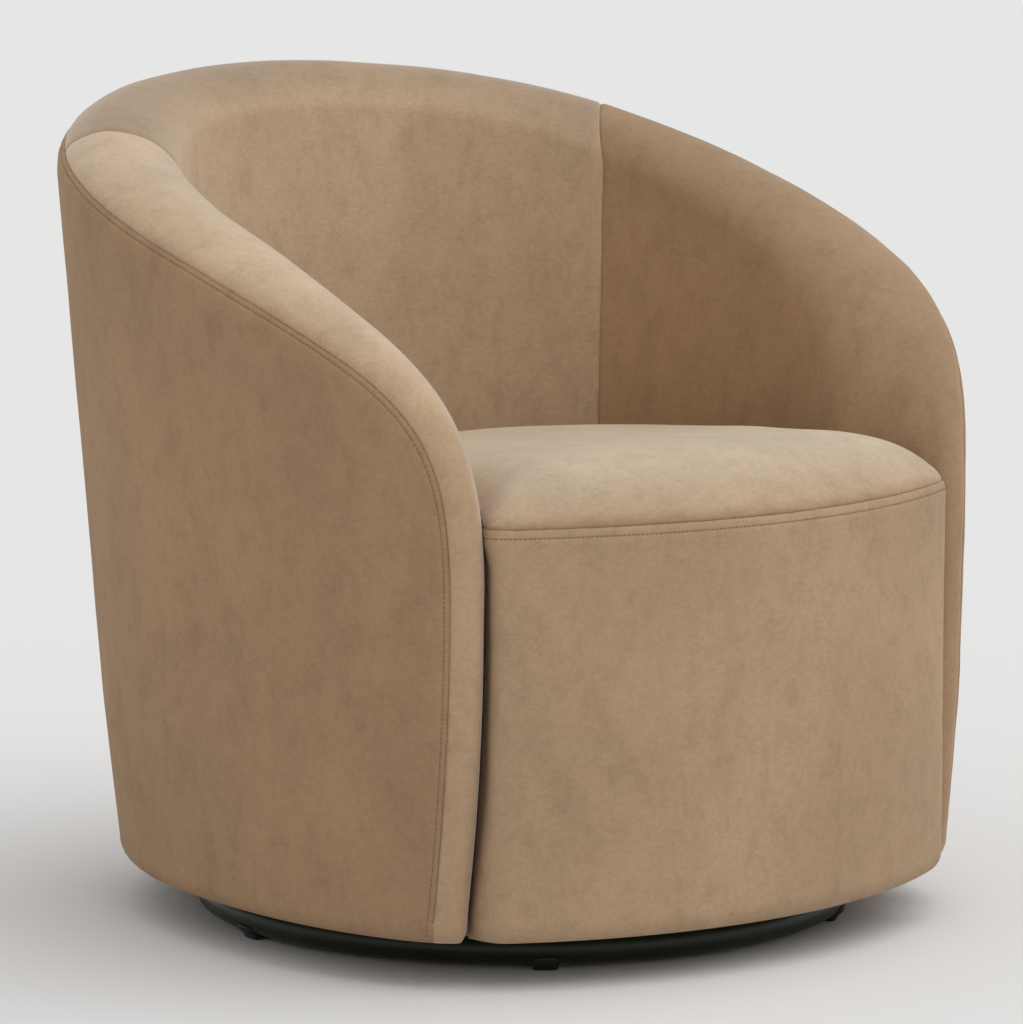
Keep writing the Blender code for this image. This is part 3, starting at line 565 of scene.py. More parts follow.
def velvet_material(name, tone, seed, painted_top_light=white, nap=(1.0, 1.0, 0.6), sheen=0.5):
    """Short-pile velvet: cloudy brushed patches, smudges, fine pile and a soft sheen.

    tone paints light and sheen into the colour: it lightens and whitens a piece that is lit and
    darkens one in shade.
    The colour is lightened or darkened again where the cloth faces up, as painted light from above,
    and nap scales the clouds."""
    material, tree, shader = node_material(name)
    # The clouds' two colours carry tone, which is painted light and sheen
    cloud_stops = [
        (position, tuple(c * t * level for c, t in zip(velvet_color, tone)))
        for position, level in zip(cloud_positions, cloud_levels)
    ]
    place = add(tree, "ShaderNodeTexCoord")
    move = add(tree, "ShaderNodeMapping")
    set_inputs(move, {"Location": tuple(seed * step for step in pattern_steps)})
    tree.links.new(place.outputs["Object"], move.inputs["Vector"])
    where = move.outputs["Vector"]
    clouds = noise_node(tree, where, 6.0, 5.0, 0.60, nap, 0.4)
    smudges = noise_node(tree, where, 40.0, 6.0, 0.74, (1.0, 1.0, 0.7), 0.3)
    mottle = noise_node(tree, where, 170.0, 4.0, 0.70, (1.0, 1.0, 1.6))
    grain = noise_node(tree, where, 1500.0, 2.0, 0.6)
    facing = add(tree, "ShaderNodeSeparateXYZ")
    tree.links.new(place.outputs["Normal"], facing.inputs["Vector"])
    color = ramp(tree, clouds, cloud_stops)
    color = toned(tree, color, smudges, smudge_stops, 0.5)
    color = toned(tree, color, mottle, mottle_stops)
    color = toned(tree, color, grain, grain_stops, 0.8)
    # Painted light: the colour is lightened or darkened where the cloth faces up, as light from above
    # would do
    color = toned(tree, color, facing.outputs["Z"], ((0.35, white), (0.95, painted_top_light)))
    tree.links.new(color, shader.inputs["Base Color"])
    set_inputs(shader, {
        "Roughness": 0.85,
        "Specular IOR Level": 0.15,
        "Sheen Weight": sheen,
        "Sheen Roughness": 0.38,
        "Sheen Tint": (1.0, 0.95, 0.88, 1.0),
    })
    fine = bumped(tree, grain, 0.35, 0.0006)
    broad = bumped(tree, mottle, 0.30, 0.0014, fine)
    tree.links.new(broad, shader.inputs["Normal"])
    return material


def painted_material(name, base, edge, roughness, peel_scale=880.0):
    """Powder-coated metal, moulded plastic or thread: a fine orange peel with faint tone changes."""
    material, tree, shader = node_material(name)
    where = add(tree, "ShaderNodeTexCoord").outputs["Object"]
    tone = noise_node(tree, where, 26.0, 3.0, 0.6)
    color = ramp(tree, tone, ((0.35, base), (0.68, edge)))
    tree.links.new(color, shader.inputs["Base Color"])
    spread_out = add(tree, "ShaderNodeMapRange")
    set_inputs(spread_out, {
        "From Min": 0.3, "From Max": 0.7, "To Min": roughness - 0.06, "To Max": roughness + 0.06,
    })
    tree.links.new(tone, spread_out.inputs["Value"])
    tree.links.new(spread_out.outputs["Result"], shader.inputs["Roughness"])
    set_inputs(shader, {"Specular IOR Level": 0.3})
    peel = noise_node(tree, where, peel_scale, 2.0, 0.5)
    tree.links.new(bumped(tree, peel, 0.25, 0.0003), shader.inputs["Normal"])
    return material


def wood_material(name, dark, light, stretch):
    """Wood, or the edge of plywood: rings stretched along the grain."""
    material, tree, shader = node_material(name)
    where = add(tree, "ShaderNodeTexCoord").outputs["Object"]
    rings = noise_node(tree, where, 30.0, 6.0, 0.65, stretch, 1.2)
    color = ramp(tree, rings, ((0.35, dark), (0.65, light)))
    tree.links.new(color, shader.inputs["Base Color"])
    set_inputs(shader, {"Roughness": 0.62})
    tree.links.new(bumped(tree, rings, 0.3, 0.0004), shader.inputs["Normal"])
    return material


def metal_material(name, base, light, roughness):
    """Bare or plated metal with a fine mottle."""
    material, tree, shader = node_material(name)
    where = add(tree, "ShaderNodeTexCoord").outputs["Object"]
    mottle = noise_node(tree, where, 400.0, 4.0, 0.6)
    color = ramp(tree, mottle, ((0.3, base), (0.7, light)))
    tree.links.new(color, shader.inputs["Base Color"])
    set_inputs(shader, {"Metallic": 1.0, "Roughness": roughness})
    tree.links.new(bumped(tree, mottle, 0.12, 0.0002), shader.inputs["Normal"])
    return material


# Painted light: each velvet piece is a lit or shaded copy of one velvet. The tones and the factors for
# cloth that faces up lighten and whiten the lit pieces, such as the seat, the inside back, the right
# arm and the front, and leave the outside and the left arm darker. The inside back is darkened where
# it faces up.
velvet_outside = velvet_material("velvet_outside", (0.98, 0.97, 0.96), 1.0, sheen=0.05)
velvet_back = velvet_material("velvet_inside_back", (1.40, 1.58, 1.78), 6.0, (0.66, 0.64, 0.62))
velvet_arms = {
    "left": velvet_material(
        "velvet_inside_arm_left", (1.02, 1.02, 1.01), 3.0, (0.95, 0.97, 0.99), sheen=0.2
    ),
    "right": velvet_material(
        "velvet_inside_arm_right", (1.28, 1.36, 1.43), 1.0, (1.14, 1.23, 1.31), sheen=0.7
    ),
}
velvet_seat = velvet_material(
    "velvet_seat", (1.15, 1.15, 1.15), 4.0, (1.30, 1.60, 1.92), nap=(1.0, 0.6, 1.0)
)
velvet_front = velvet_material("velvet_front", (1.16, 1.24, 1.32), 5.0, sheen=0.10)
thread = painted_material("thread", (0.19, 0.120, 0.068), (0.24, 0.152, 0.088), 0.7)
ring_paint = painted_material(
    "base_paint", (0.0055, 0.0100, 0.0030), (0.0085, 0.0145, 0.0050), 0.36, 1200.0
)
glide_plastic = painted_material(
    "glide_plastic", (0.012, 0.013, 0.011), (0.018, 0.019, 0.016), 0.5, 1040.0
)


# Wall covers
def leaning(u, side, roll):
    """Moves a column so that the seam between back and arm runs towards the back over the rim."""
    turn = max(side * roll, lean_start_roll)
    over = (turn - lean_start_roll) / (90.0 - lean_start_roll)
    seam = seam_column - seam_lean * (1 - over**lean_power)
    if u <= seam_column:
        return u * seam / seam_column
    return u if u >= 1.0 else 1 - (1 - u) * (1 - seam) / (1 - seam_column)


def wall_grid(columns, rows, placed=lambda u, side, roll: u):
    """Points of the wall at columns of u and rows of (side, roll, fall)."""
    return np.array([
        [wall_point(placed(u, side, roll), side, roll, fall) for side, roll, fall in rows]
        for u in columns
    ])


hem_turns = spread(90.0, 0.0, 9)
under_runs = (0.010, 0.022)
extra_columns = 6
extra_power = 1.6


def lowered(u, side, roll, turn_degrees, run=0.0):
    """A point of the rounded lower edge, and of the strip that is pulled on under the board."""
    turn = math.radians(turn_degrees)
    back = hem_radius * (1 - math.sin(turn)) + run
    x, y, _ = wall_point(u, side, roll, 1.0, back)
    return x, y, edge_centre - hem_radius * math.cos(turn)


def hem_grid(stations):
    """Round the lower edge below each (u, side, roll) station of the wall's bottom line."""
    grid = []
    for u, side, roll in stations:
        column = [wall_point(u, side, roll, 1.0)]
        column += [lowered(u, side, roll, turn) for turn in hem_turns]
        column += [lowered(u, side, roll, 0.0, run) for run in under_runs]
        grid.append(column)
    return np.array(grid)


def fine_ends(values, at_start=False, at_end=False):
    """Extra values close to a seam at either end of a run."""
    step = abs(values[1] - values[0])
    extra = [step * (k / (extra_columns + 1)) ** extra_power for k in range(1, extra_columns + 1)]
    result = list(values)
    if at_start:
        result += [values[0] + e for e in extra]
    if at_end:
        result += [values[-1] - e for e in extra]
    return sorted(result)


back_columns = fine_ends(spread(0.0, seam_column, 60), at_end=True)
arm_columns = fine_ends(spread(seam_column, 1.0, 96), at_start=True) + spread(1.0, 2.0, 46)[1:]
outside_columns = sorted(set(back_columns + arm_columns))

# Rolls lie closer beside the seam and its stitches
stitch_roll = 74.0
swell_roll = 50.0
seam_to_side = spread(seam_roll, stitch_roll, 16)[:-1] + spread(stitch_roll, 90.0, 6)
seam_to_top = spread(seam_roll, swell_roll, 10)[:-1] + spread(swell_roll, 0.0, 16)
top_to_inside = spread(0.0, 90.0, 26)[1:]
falls = spread(0.0, 1.0, 48)[1:]

outside_rows = [(-1, roll, 0.0) for roll in seam_to_side] + [(-1, 90.0, fall) for fall in falls]
inside_rows = [(-1, roll, 0.0) for roll in seam_to_top] + [(1, roll, 0.0) for roll in top_to_inside]
inside_rows += [(1, 90.0, fall) for fall in falls]


def pushed(points, normals, height):
    """Move points along their normals, and keep those of the middle plane on it."""
    moved = points + normals * height[:, :, None]
    on_middle = np.abs(points[:, :, 0]) < nearly_zero
    moved[:, :, 0] = np.where(on_middle, 0.0, moved[:, :, 0])
    return moved


def outward_normals(points, probe, direction):
    """Normals of a grid, turned so that the one at the probe square agrees with a direction."""
    normals = grid_normals(points)
    if float(np.dot(normals[probe], np.array(direction))) < 0.0:
        return -normals, True
    return normals, False


def tuck(points, normals, first_row=False, first_column=False, last_column=False):
    """Add a row or column that turns in under the neighbouring cover, as a seam allowance."""
    if first_row:
        turned = points[:, :1] - normals[:, :1] * seam_allowance
        points = np.concatenate([turned, points], axis=1)
        normals = np.concatenate([normals[:, :1], normals], axis=1)
    if first_column:
        turned = points[:1] - normals[:1] * seam_allowance
        points = np.concatenate([turned, points], axis=0)
        normals = np.concatenate([normals[:1], normals], axis=0)
    if last_column:
        turned = points[-1:] - normals[-1:] * seam_allowance
        points = np.concatenate([points, turned], axis=0)
        normals = np.concatenate([normals, normals[-1:]], axis=0)
    return points, normals


def at_distance(points, distance):
    """The line that runs at a distance from a grid's first row."""
    arc = arc_from_start(points, 1)
    line = []
    for i in range(points.shape[0]):
        j = int(np.searchsorted(arc[i], distance))
        j = min(max(j, 1), points.shape[1] - 1)
        share = (distance - arc[i, j - 1]) / max(arc[i, j] - arc[i, j - 1], nearly_zero)
        line.append(points[i, j - 1] + (points[i, j] - points[i, j - 1]) * min(share, 1.0))
    return np.array(line)


# Outside of the wall
outside_plain = wall_grid(outside_columns, outside_rows)
outside_normals, outside_flip = outward_normals(outside_plain, (40, 40), (0.6, 0.6, 0.0))
height = stitched_relief(
    outside_plain, outside_stitch_setback, softness_amount=0.0009, pucker_amount=0.0005, seed=1.0
)
height[:, -1] = 0.0            # The last row meets the hem
outside = pushed(outside_plain, outside_normals, height)
outside[-1, len(seam_to_side) - 1:] = outside[-1, -1]    # The side ends in one point at the arm's foot

outside_bottom = [(u, -1, 90.0) for u in outside_columns]
outside_bottom += [(2.0, -1, roll) for roll in seam_to_side[::-1][1:]]
outside_hem = hem_grid(outside_bottom)
foot_start = len(outside_columns) - 1
outside_hem[:foot_start + 1, 0] = outside[:, -1]
outside_hem[foot_start:, 0] = outside[-1, :len(seam_to_side)][::-1]

# The stitches run on down the hem, to where it turns under
hem_stitch_rows = slice(1, 7)
foot_hem = outside_hem[foot_start:][::-1].transpose(1, 0, 2)
outside_stitch_line = np.concatenate([
    at_distance(outside, outside_stitch_setback),
    at_distance(foot_hem, outside_stitch_setback)[hem_stitch_rows],
])
tucked, _ = tuck(outside, outside_normals, first_row=True)
outside_velvet = build(
    "outside_velvet", [(tucked, outside_flip), (outside_hem, outside_flip)], fabric, velvet_outside
)

# Inside of the back
back_plain = wall_grid(back_columns, inside_rows, leaning)
back_normals, back_flip = outward_normals(back_plain, (10, 70), (0.0, -1.0, 0.0))
from_side_seam = arc_from_start(back_plain[::-1], 0)[::-1]
height = inside_relief(back_plain, from_side_seam, softness_share=1.0, seed=2.0)
back = pushed(back_plain, back_normals, height)
tucked, back_normals = tuck(back, back_normals, first_row=True)
tucked, _ = tuck(tucked, back_normals, last_column=True)
inside_back_velvet = build("inside_back_velvet", [(tucked, back_flip)], padded_thickness, velvet_back)

# Inside of the arms
arm_plain = wall_grid(arm_columns, inside_rows, leaning)
arm_normals, arm_flip = outward_normals(arm_plain, (40, 70), (-1.0, 0.0, 0.0))
from_side_seam = arc_from_start(arm_plain, 0)
height = inside_relief(arm_plain, from_side_seam, softness_share=near_floor(arm_plain), seed=3.0)
arm = pushed(arm_plain, arm_normals, height)
arm_bottom = [(2.0, side, roll) for side, roll, fall in inside_rows if fall == 0.0]
arm_hem = hem_grid(arm_bottom)
arm_hem[:, 0] = arm[-1, :len(arm_bottom)]
tucked, arm_normals = tuck(arm, arm_normals, first_row=True)
tucked, _ = tuck(tucked, arm_normals, first_column=True)
arm_velvets = []
for hand, across in (("left", 1.0), ("right", -1.0)):
    mirrored = np.array([across, 1.0, 1.0])
    arm_velvets.append(build(
        "inside_arm_velvet_" + hand,
        [
            (tucked * mirrored, arm_flip != (across < 0)),
            (arm_hem * mirrored, arm_flip == (across < 0)),
        ],
        padded_thickness,
        velvet_arms[hand],
        mirror=False,
    ))


# Seat and drum front
def seat_tilt(y):
    """How far the seat's top lies below its front edge, at a distance from the swivel axis."""
    return seat_slope * max(0.0, y - drum_front_y - slope_setback)


def foot_station(z):
    """The station of the arm's front edge at a height."""
    return 2.0 - find(0.0, foot_search_span, lambda v: rim(2.0 - v)[1] < z)


def beside_wall(share, z, inset):
    """A point beside the inside of the wall: 0 at mid back, 1 where the arm's tip begins to round."""
    u = foot_station(z)
    tip = rim(u)[0]
    theta = share * (tip - roll_depth(u, 1) / edge_radius(u, tip, z))
    radius = outer_radius(theta, z) - wall_thickness - seat_clearance - inset
    return round_axis(radius, theta, z)


def beside_arm(roll, z, inset):
    """A point before the rounded tip of the arm, by its roll."""
    u = foot_station(z)
    tip = rim(u)[0]
    depth, half = roll_depth(u, 1), half_width(u, 1)
    ahead = (depth + arm_clearance + inset) * math.cos(math.radians(roll)) - depth
    theta = tip + ahead / edge_radius(u, tip, z)
    reach = (half + arm_clearance + inset) * math.sin(math.radians(roll))
    return round_axis(edge_radius(u, theta, z) - reach, theta, z)


side_stations = [(beside_wall, share) for share in spread(0.0, 1.0, 60)[:-1]]
side_stations += [(beside_arm, roll) for roll in spread(84.0, 14.0, 14)]
band_arm_stations = 7          # The band starts this many stations round the tip of the arm
band_start = len(side_stations) - band_arm_stations
corner_steps = 16
front_steps = 40
corner_shrink = 0.9
seam_draw_fade = 0.007


def seat_outline(z, inset=0.0, back=0.0, tilt=0.0):
    """Half plan of the seat at a height, from the middle of the back to the middle of the front.

    inset draws it in all round, back only in front, and tilt lowers it by that share of the slope."""
    points = []
    for point_at, value in side_stations:
        level = z
        if tilt:
            level -= tilt * seat_tilt(point_at(value, z, inset)[1] - swivel_axis_y)
        points.append(point_at(value, level, inset))
    radius = drum_radius - inset - back
    sine, cosine = math.sin(drum_end_angle), math.cos(drum_end_angle)
    axis = np.array((0.0, swivel_axis_y))
    corner = axis + (radius * sine, drum_centre_y - radius * cosine)
    bend = corner + np.array((cosine, sine)) * max(0.0, drum_corner - corner_shrink * (inset + back))
    start = np.array(points[-1][:2])
    front = [
        start * (1 - t) ** 2 + bend * 2 * t * (1 - t) + corner * t * t
        for t in spread(0.0, 1.0, corner_steps)[1:-1]
    ]
    for angle in spread(drum_end_angle, 0.0, front_steps):
        front.append(axis + (radius * math.sin(angle), drum_centre_y - radius * math.cos(angle)))
    return np.array(points + [(x, y, z) for x, y in front])


def seam_drawn(z):
    """How far the drum's front is drawn in by the seam, at a height."""
    below = max(0.0, seam_height - z)
    return seam_draw * math.exp(-below / seam_draw_fade)


# Rows lie closer below the seam, and end with the hem and its strip under the board
band_drops = (
    0.0003, 0.0012, 0.0022, 0.0034, 0.0046, 0.0058, 0.0068, 0.0078,
    0.0088, 0.0098, 0.0112, 0.0130, 0.0155, 0.0190, 0.0240,
)
band_heights = [seam_height - drop for drop in band_drops]
band_heights += spread(seam_height - 0.031, wall_bottom + 0.001, 36)
band_rows = [seat_outline(z, 0.0, seam_drawn(z)) for z in band_heights]
for turn in hem_turns:
    angle = math.radians(turn)
    drawn_back = hem_radius * (1 - math.sin(angle))
    band_rows.append(seat_outline(edge_centre - hem_radius * math.cos(angle), 0.0, drawn_back))
for run in under_runs:
    band_rows.append(seat_outline(edge_centre - hem_radius, 0.0, hem_radius + run))
band_plain = np.array([row[band_start:] for row in band_rows]).transpose(1, 0, 2)[::-1]
band_normals, band_flip = outward_normals(band_plain, (5, 30), (0.0, -1.0, 0.0))
height = stitched_relief(
    band_plain, band_stitch_setback, softness_amount=0.0008, pucker_amount=0.0006, seed=5.0
)

# The front is hollowed beside the arms. The hollow ends before the seam, the middle and the floor
recess_depth = 0.005
recess_start = 0.010
recess_end = 0.040
recess_end_fade = 0.020
recess_top = 0.004
recess_top_fade = 0.035
recess_floor_fade = 0.12
from_arm = arc_from_start(band_plain[::-1], 0)[::-1]
past_arm = from_arm - from_arm[-band_arm_stations]
recess = eased((recess_end - past_arm) / recess_end_fade) * eased(past_arm / recess_start)
recess *= eased((arc_from_start(band_plain, 1) - recess_top) / recess_top_fade)
recess *= eased((band_plain[:, :, 2] - wall_bottom) / recess_floor_fade)
height -= recess_depth * recess
band = pushed(band_plain, band_normals, height)
band_stitch_line = at_distance(band, band_stitch_setback)
tucked, _ = tuck(band, band_normals, first_row=True)
front_band_velvet = build("front_band_velvet", [(tucked, band_flip)], padded_thickness, velvet_front)

# The crown's rings shrink from the seam, 1, to the middle
crown_shares = [1.0, 0.9995, 0.9985, 0.997, 0.995, 0.9925, 0.9895, 0.986, 0.982, 0.977, 0.971, 0.963]
crown_shares += [0.953, 0.942] + spread(0.93, 0.06, 34)


def crown_oval(angle):
    """Reach of the oval that the crown's inner rings run into, at an angle from the back."""
    half = seat_half_width + crown_side_margin
    if math.cos(angle) < 0:
        depth = crown_setback - crown_front_margin
    else:
        depth = seat_back_y - crown_centre_y - crown_back_margin
    return 1 / math.hypot(math.sin(angle) / half, math.cos(angle) / depth)


crown_outline = seat_outline(seam_height, 0.0, seam_draw, 1.0)
crown_steps = np.linalg.norm(np.diff(crown_outline, axis=0), axis=1)
crown_steps = np.concatenate([[0.0], np.cumsum(crown_steps)]) / crown_steps.sum()


def crown_ring(share):
    blend = smooth(min(1.0, (1 - share) / crown_blend))
    ring = []
    for (x, y, _), step in zip(crown_outline, crown_steps):
        y -= swivel_axis_y + crown_centre_y
        angle, reach = math.atan2(x, y), math.hypot(x, y)
        angle += (math.pi * step - angle) * crown_evenness * blend
        length = (reach * (1 - blend) + crown_oval(angle) * blend) * share
        x, y = math.sin(angle) * length, crown_centre_y + math.cos(angle) * length
        z = seam_height + crown_height * (1 - share**crown_power) ** crown_softness - seat_tilt(y)
        ring.append((x, y + swivel_axis_y, z))
    return ring


front_part_y = -0.10           # The seam's dip and puckers fade in ahead of this
front_part_fade = 0.10
swelling_fade = 0.05
seat_plain = np.array([crown_ring(share) for share in crown_shares[::-1]]).transpose(1, 0, 2)
seat_normals, seat_flip = outward_normals(seat_plain, (60, 5), (0.0, 0.0, 1.0))
from_seam = arc_from_start(seat_plain[:, ::-1], 1)[:, ::-1]
along_seam = arc_from_start(seat_plain[:, ::-1], 0)[:, ::-1]
front_part = np.clip((-seat_plain[:, :, 1] + front_part_y) / front_part_fade, 0.0, 1.0)
swelling_part = np.clip(from_seam / swelling_fade, 0.0, 1.0)
height = seam_shape(from_seam) * front_part
height += softness(seat_plain, amount=0.0022, size=0.16, seed=4.0) * swelling_part
height += puckers(seat_plain, along_seam, from_seam, amount=0.0010, seed=4.0) * front_part
seat = pushed(seat_plain, seat_normals, height)

# The seat's side goes down inside the wall and behind the drum's front, as (drop, inset, tilt)
seat_side_rings = ((0.001, 0.004, 1.0), (0.025, 0.014, 1.0), (0.060, 0.014, 0.5), (0.110, 0.014, 0.0))
seat_sides = np.array([
    seat_outline(seam_height - drop, inset, seam_draw, tilt) for drop, inset, tilt in seat_side_rings
]).transpose(1, 0, 2)
seat_full = np.concatenate([seat, seat_sides], axis=1)
seat_top_velvet = build("seat_top_velvet", [(seat_full, seat_flip)], 0.0, velvet_seat)


def close_ends(mesh):
    """Fill a mesh's open boundaries."""
    shape = bmesh.new()
    shape.from_mesh(mesh)
    edges = [e for e in shape.edges if e.is_boundary]
    bmesh.ops.holes_fill(shape, edges=edges, sides=0)
    bmesh.ops.triangulate(shape, faces=[f for f in shape.faces if len(f.verts) > 4])
    shape.to_mesh(mesh)
    shape.free()
    face_outwards(mesh)


close_ends(seat_top_velvet.data)


# Topstitching
stitch_pitch = 0.0042
stitch_length = 0.0031
stitch_radius = 0.00042
stitch_sides = 6
# The rings of a stitch, as (place along its length, share of its radius)
stitch_rings = ((-0.5, 0.0), (-0.42, 0.75), (-0.2, 1.0), (0.2, 1.0), (0.42, 0.75), (0.5, 0.0))


def resampled(line, step):
    lengths = np.concatenate([[0.0], np.cumsum(np.linalg.norm(np.diff(line, axis=0), axis=1))])
    marks = np.arange(step / 2, lengths[-1] - step / 2, step)
    return [np.array([np.interp(m, lengths, line[:, k]) for k in range(3)]) for m in marks]


def both_hands(line):
    """One line over both halves, from a half that starts on the middle plane."""
    mirrored = line * np.array([-1.0, 1.0, 1.0])
    return np.concatenate([mirrored[::-1], line[1:]])


def stitches(name, line):
    """A row of short thread capsules, half sunk into the fabric."""
    vertices, faces = [], []
    marks = resampled(line, stitch_pitch)
    for before, mark, after in zip(marks, marks[1:], marks[2:]):
        forward = Vector(after - before).normalized()
        side = forward.orthogonal().normalized()
        other = forward.cross(side)
        start = len(vertices)
        for where, wide in stitch_rings:
            middle = Vector(mark) + forward * (where * stitch_length)
            if wide == 0.0:
                vertices.append(tuple(middle))
                continue
            for k in range(stitch_sides):
                angle = math.radians(360.0 / stitch_sides * k)
                offset = side * math.cos(angle) + other * math.sin(angle)
                vertices.append(tuple(middle + offset * (stitch_radius * wide)))
        first, end = start + 1, len(vertices) - 1
        last = end - stitch_sides
        for k in range(stitch_sides):
            after_k = (k + 1) % stitch_sides
            faces.append((start, first + after_k, first + k))
            for a in range(first, last, stitch_sides):
                b = a + stitch_sides
                faces.append((a + k, a + after_k, b + after_k, b + k))
            faces.append((end, last + k, last + after_k))
    return new_piece(name, new_mesh(name, vertices, faces), thread)


outside_stitches = stitches("outside_topstitch", both_hands(outside_stitch_line))
band_stitches = stitches("seat_topstitch", both_hands(band_stitch_line))


# Base ring and glides
tube_sides = 32
ring_steps = 220
ring_height = glide_height + ring_tube_radius


def round_ring(radius, angle, z):
    """A point at an angle from the middle of the front."""
    return radius * math.sin(angle), swivel_axis_y - radius * math.cos(angle), z


def revolved(name, profile, steps, material):
    """Turn a closed profile of (radius, height) points round the swivel axis."""
    vertices, faces = [], []
    count = len(profile)
    for i in range(steps):
        angle = 2 * math.pi * i / steps
        vertices += [round_ring(radius, angle, z) for radius, z in profile]
    for i in range(steps):
        for j in range(count):
            a, b = i * count + j, i * count + (j + 1) % count
            c, d = (i + 1) % steps * count + (j + 1) % count, (i + 1) % steps * count + j
            faces.append((a, d, c, b))
    mesh = new_mesh(name, vertices, faces)
    face_outwards(mesh)
    return new_piece(name, mesh, material)


tube_angles = [2 * math.pi * step / tube_sides for step in range(tube_sides)]
tube_profile = [
    (ring_radius + ring_tube_radius * math.cos(a), ring_height + ring_tube_radius * math.sin(a))
    for a in tube_angles
]
base_tube = revolved("base_tube", tube_profile, ring_steps, ring_paint)

glide_columns = 17
glide_rows = 19
glide_half_length = 0.0120
glide_wrap = math.radians(66.0)
glide_end_wrap = 0.55
glide_lip = 0.0004
glide_wall = 0.0026
glide_edge_thinning = 0.55
glide_foot_part = 0.42
glide_sunk = 0.0006


def make_glide(name, angle):
    """A moulded saddle that hugs the tube's underside and ends in a flat foot."""
    outer, inner = [], []
    for along in spread(-1.0, 1.0, glide_columns - 1):
        taper = math.sqrt(max(0.0, 1 - abs(along) ** 4))
        turn = angle + along * glide_half_length / ring_radius
        outer_row, inner_row = [], []
        for across in spread(-1.0, 1.0, glide_rows - 1):
            roll = across * glide_wrap * (glide_end_wrap + (1 - glide_end_wrap) * taper)
            shell = glide_lip + glide_wall * taper * (1 - glide_edge_thinning * across**4)
            radius = ring_tube_radius + shell
            z = ring_height - radius * math.cos(roll)
            z = max(z, 0.0) if abs(across) > glide_foot_part else z - z * taper**0.5
            outer_row.append(round_ring(ring_radius + radius * math.sin(roll), turn, z))
            radius = ring_tube_radius - glide_sunk
            z = ring_height - radius * math.cos(roll)
            inner_row.append(round_ring(ring_radius + radius * math.sin(roll), turn, z))
        outer.append(outer_row)
        inner.append(inner_row)
    vertices = [point for rows in (outer, inner) for row in rows for point in row]
    shift = glide_columns * glide_rows
    faces = grid_faces(glide_columns, glide_rows)
    faces += grid_faces(glide_columns, glide_rows, shift, True)
    for i in range(glide_columns - 1):
        for j in (0, glide_rows - 1):
            a, b = i * glide_rows + j, (i + 1) * glide_rows + j
            face = (a, a + shift, b + shift, b)
            faces.append(face if j == 0 else face[::-1])
    for j in range(glide_rows - 1):
        for i in (0, glide_columns - 1):
            a, b = i * glide_rows + j, i * glide_rows + j + 1
            face = (a, b, b + shift, a + shift)
            faces.append(face if i == 0 else face[::-1])
    mesh = new_mesh(name, vertices, faces)
    face_outwards(mesh)
    return new_piece(name, mesh, glide_plastic)


glides = []
for side in (1, -1):
    for angle in glide_angles:
        glides.append(make_glide(f"glide_saddle_{len(glides) + 1}", math.radians(side * angle)))


# What each piece rides on, and the CAD parts that are hidden in its place
chair_pieces = [outside_velvet, inside_back_velvet, *arm_velvets, front_band_velvet, seat_top_velvet]
for piece in chair_pieces + [outside_stitches, band_stitches]:
    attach(piece, "chair")
for piece in [base_tube, *glides]:
    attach(piece, "base")
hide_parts("outside_cover")
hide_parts("inside_back_cover", "back_foam")
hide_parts("inside_arm_cover_left", "arm_foam_left")
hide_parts("inside_arm_cover_right", "arm_foam_right")
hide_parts("front_band_cover", "front_foam")
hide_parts("seat_top_cover", "seat_foam")
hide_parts("base_ring")
for number, piece in enumerate(glides):
    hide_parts(f"glide_{number + 1}")

# Materials of the CAD pieces that stay, by the start of their names
plywood = wood_material("plywood_grain", (0.33, 0.20, 0.105), (0.47, 0.31, 0.18), (1.0, 1.0, 12.0))
timber = wood_material("timber_grain", (0.36, 0.22, 0.11), (0.55, 0.37, 0.21), (9.0, 1.0, 9.0))
zinc = metal_material("zinc_plate", (0.36, 0.37, 0.38), (0.60, 0.60, 0.58), 0.36)
steel = metal_material("polished_steel", (0.48, 0.48, 0.48), (0.62, 0.62, 0.61), 0.22)
spring_steel = metal_material("spring_wire", (0.30, 0.31, 0.33), (0.45, 0.45, 0.46), 0.32)
nylon = painted_material("cage_nylon", (0.62, 0.61, 0.56), (0.70, 0.69, 0.64), 0.5)
finishes = (
    (velvet_outside, "base_board"),
    (plywood, "shell_board", "front_panel", "seat_support"),
    (timber, "back_post", "arm_post", "seat_rail"),
    (spring_steel, "seat_spring"),
    (ring_paint, "cross_bar"),
    (zinc, "swivel_lower_plate", "swivel_upper_plate", "lower_plate_bolt", "upper_plate_bolt"),
    (steel, "king_pin", "bearing_ball"),
    (nylon, "ball_cage"),
)
for name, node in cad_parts.items():
    for material, *starts in finishes:
        if name.startswith(tuple(starts)):
            for slot in node.material_slots:
                slot.material = material


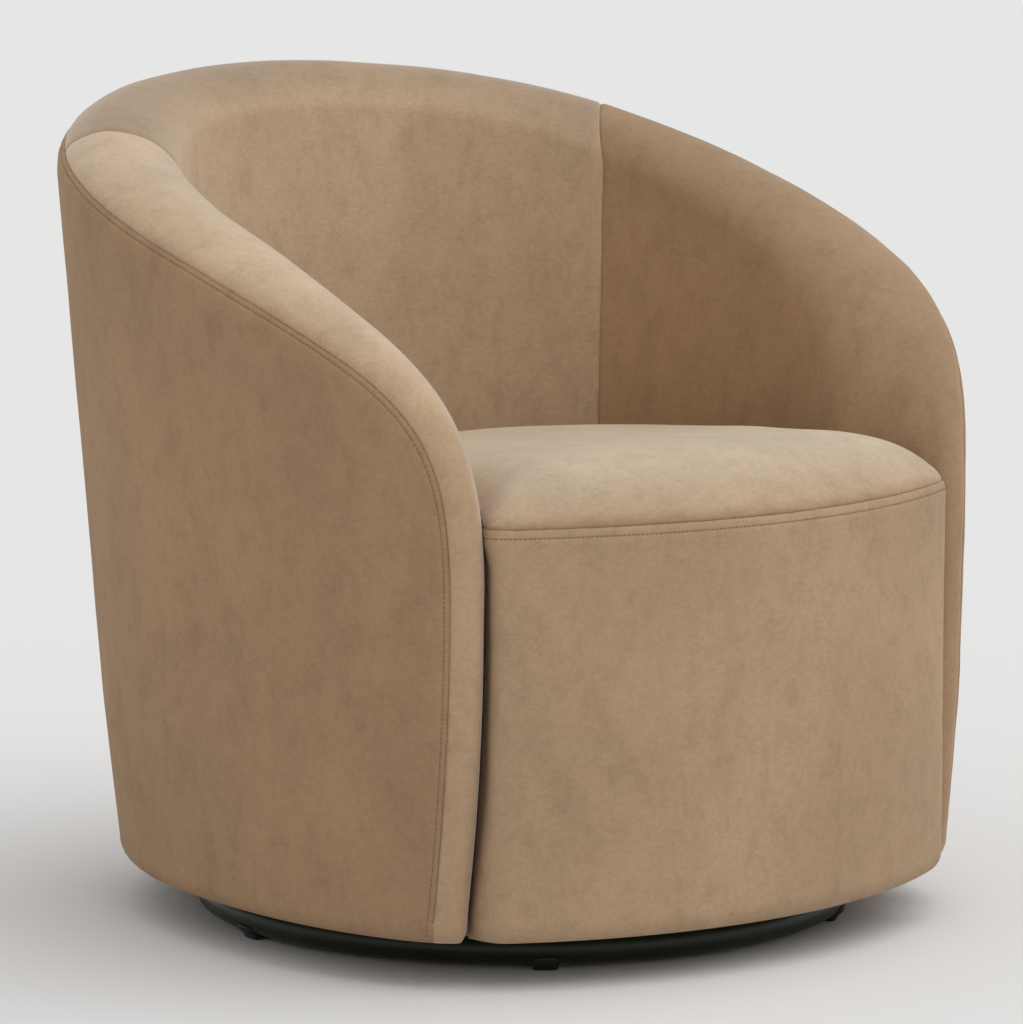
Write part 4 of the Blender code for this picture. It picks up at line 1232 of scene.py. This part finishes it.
# Floor, background and light
floor_reach = 60.0
floor_gap = 0.0002             # Keeps the floor just below the glides
floor_corners = [(-1, -1), (1, -1), (1, 1), (-1, 1)]
floor_points = [(x * floor_reach, y * floor_reach, 0.0) for x, y in floor_corners]
floor_mesh = new_mesh("studio_floor", floor_points, [(0, 1, 2, 3)])
floor = bpy.data.objects.new("studio_floor", floor_mesh)
bpy.context.scene.collection.objects.link(floor)
floor.location.z = -floor_gap
floor_material, _, floor_shader = node_material("studio_floor")
set_inputs(floor_shader, {
    "Base Color": (0.75, 0.75, 0.747, 1.0), "Roughness": 0.9, "Specular IOR Level": 0.1,
})
floor_mesh.materials.append(floor_material)

# The background is for the camera and reflections, and the light is for the object
world = bpy.data.worlds.new("studio")
bpy.context.scene.world = world
world.use_nodes = True
tree = world.node_tree
for node in list(tree.nodes):
    tree.nodes.remove(node)
output = add(tree, "ShaderNodeOutputWorld")
shown = add(tree, "ShaderNodeBackground")
set_inputs(shown, {"Color": (0.78, 0.78, 0.775, 1.0), "Strength": 1.0})
light = add(tree, "ShaderNodeBackground")
set_inputs(light, {"Color": (*white, 1.0), "Strength": 0.72})
paths = add(tree, "ShaderNodeLightPath")
seen = paths.outputs["Is Camera Ray"]
for ray in ("Is Glossy Ray", "Is Transmission Ray"):
    either = add(tree, "ShaderNodeMath", operation="MAXIMUM")
    tree.links.new(seen, either.inputs[0])
    tree.links.new(paths.outputs[ray], either.inputs[1])
    seen = either.outputs["Value"]
choose = add(tree, "ShaderNodeMixShader")
tree.links.new(seen, choose.inputs["Fac"])
tree.links.new(light.outputs["Background"], choose.inputs[1])
tree.links.new(shown.outputs["Background"], choose.inputs[2])
tree.links.new(choose.outputs["Shader"], output.inputs["Surface"])

key_way = Vector((0.36, -0.30, 0.88))
sun = bpy.data.lights.new("key", "SUN")
sun.energy = 1.19
sun.angle = math.radians(70.0)
key = bpy.data.objects.new("key", sun)
bpy.context.scene.collection.objects.link(key)
key.rotation_mode = "QUATERNION"
key.rotation_quaternion = (-key_way).to_track_quat("-Z", "Y")

scene = bpy.context.scene
scene.view_settings.view_transform = "Standard"
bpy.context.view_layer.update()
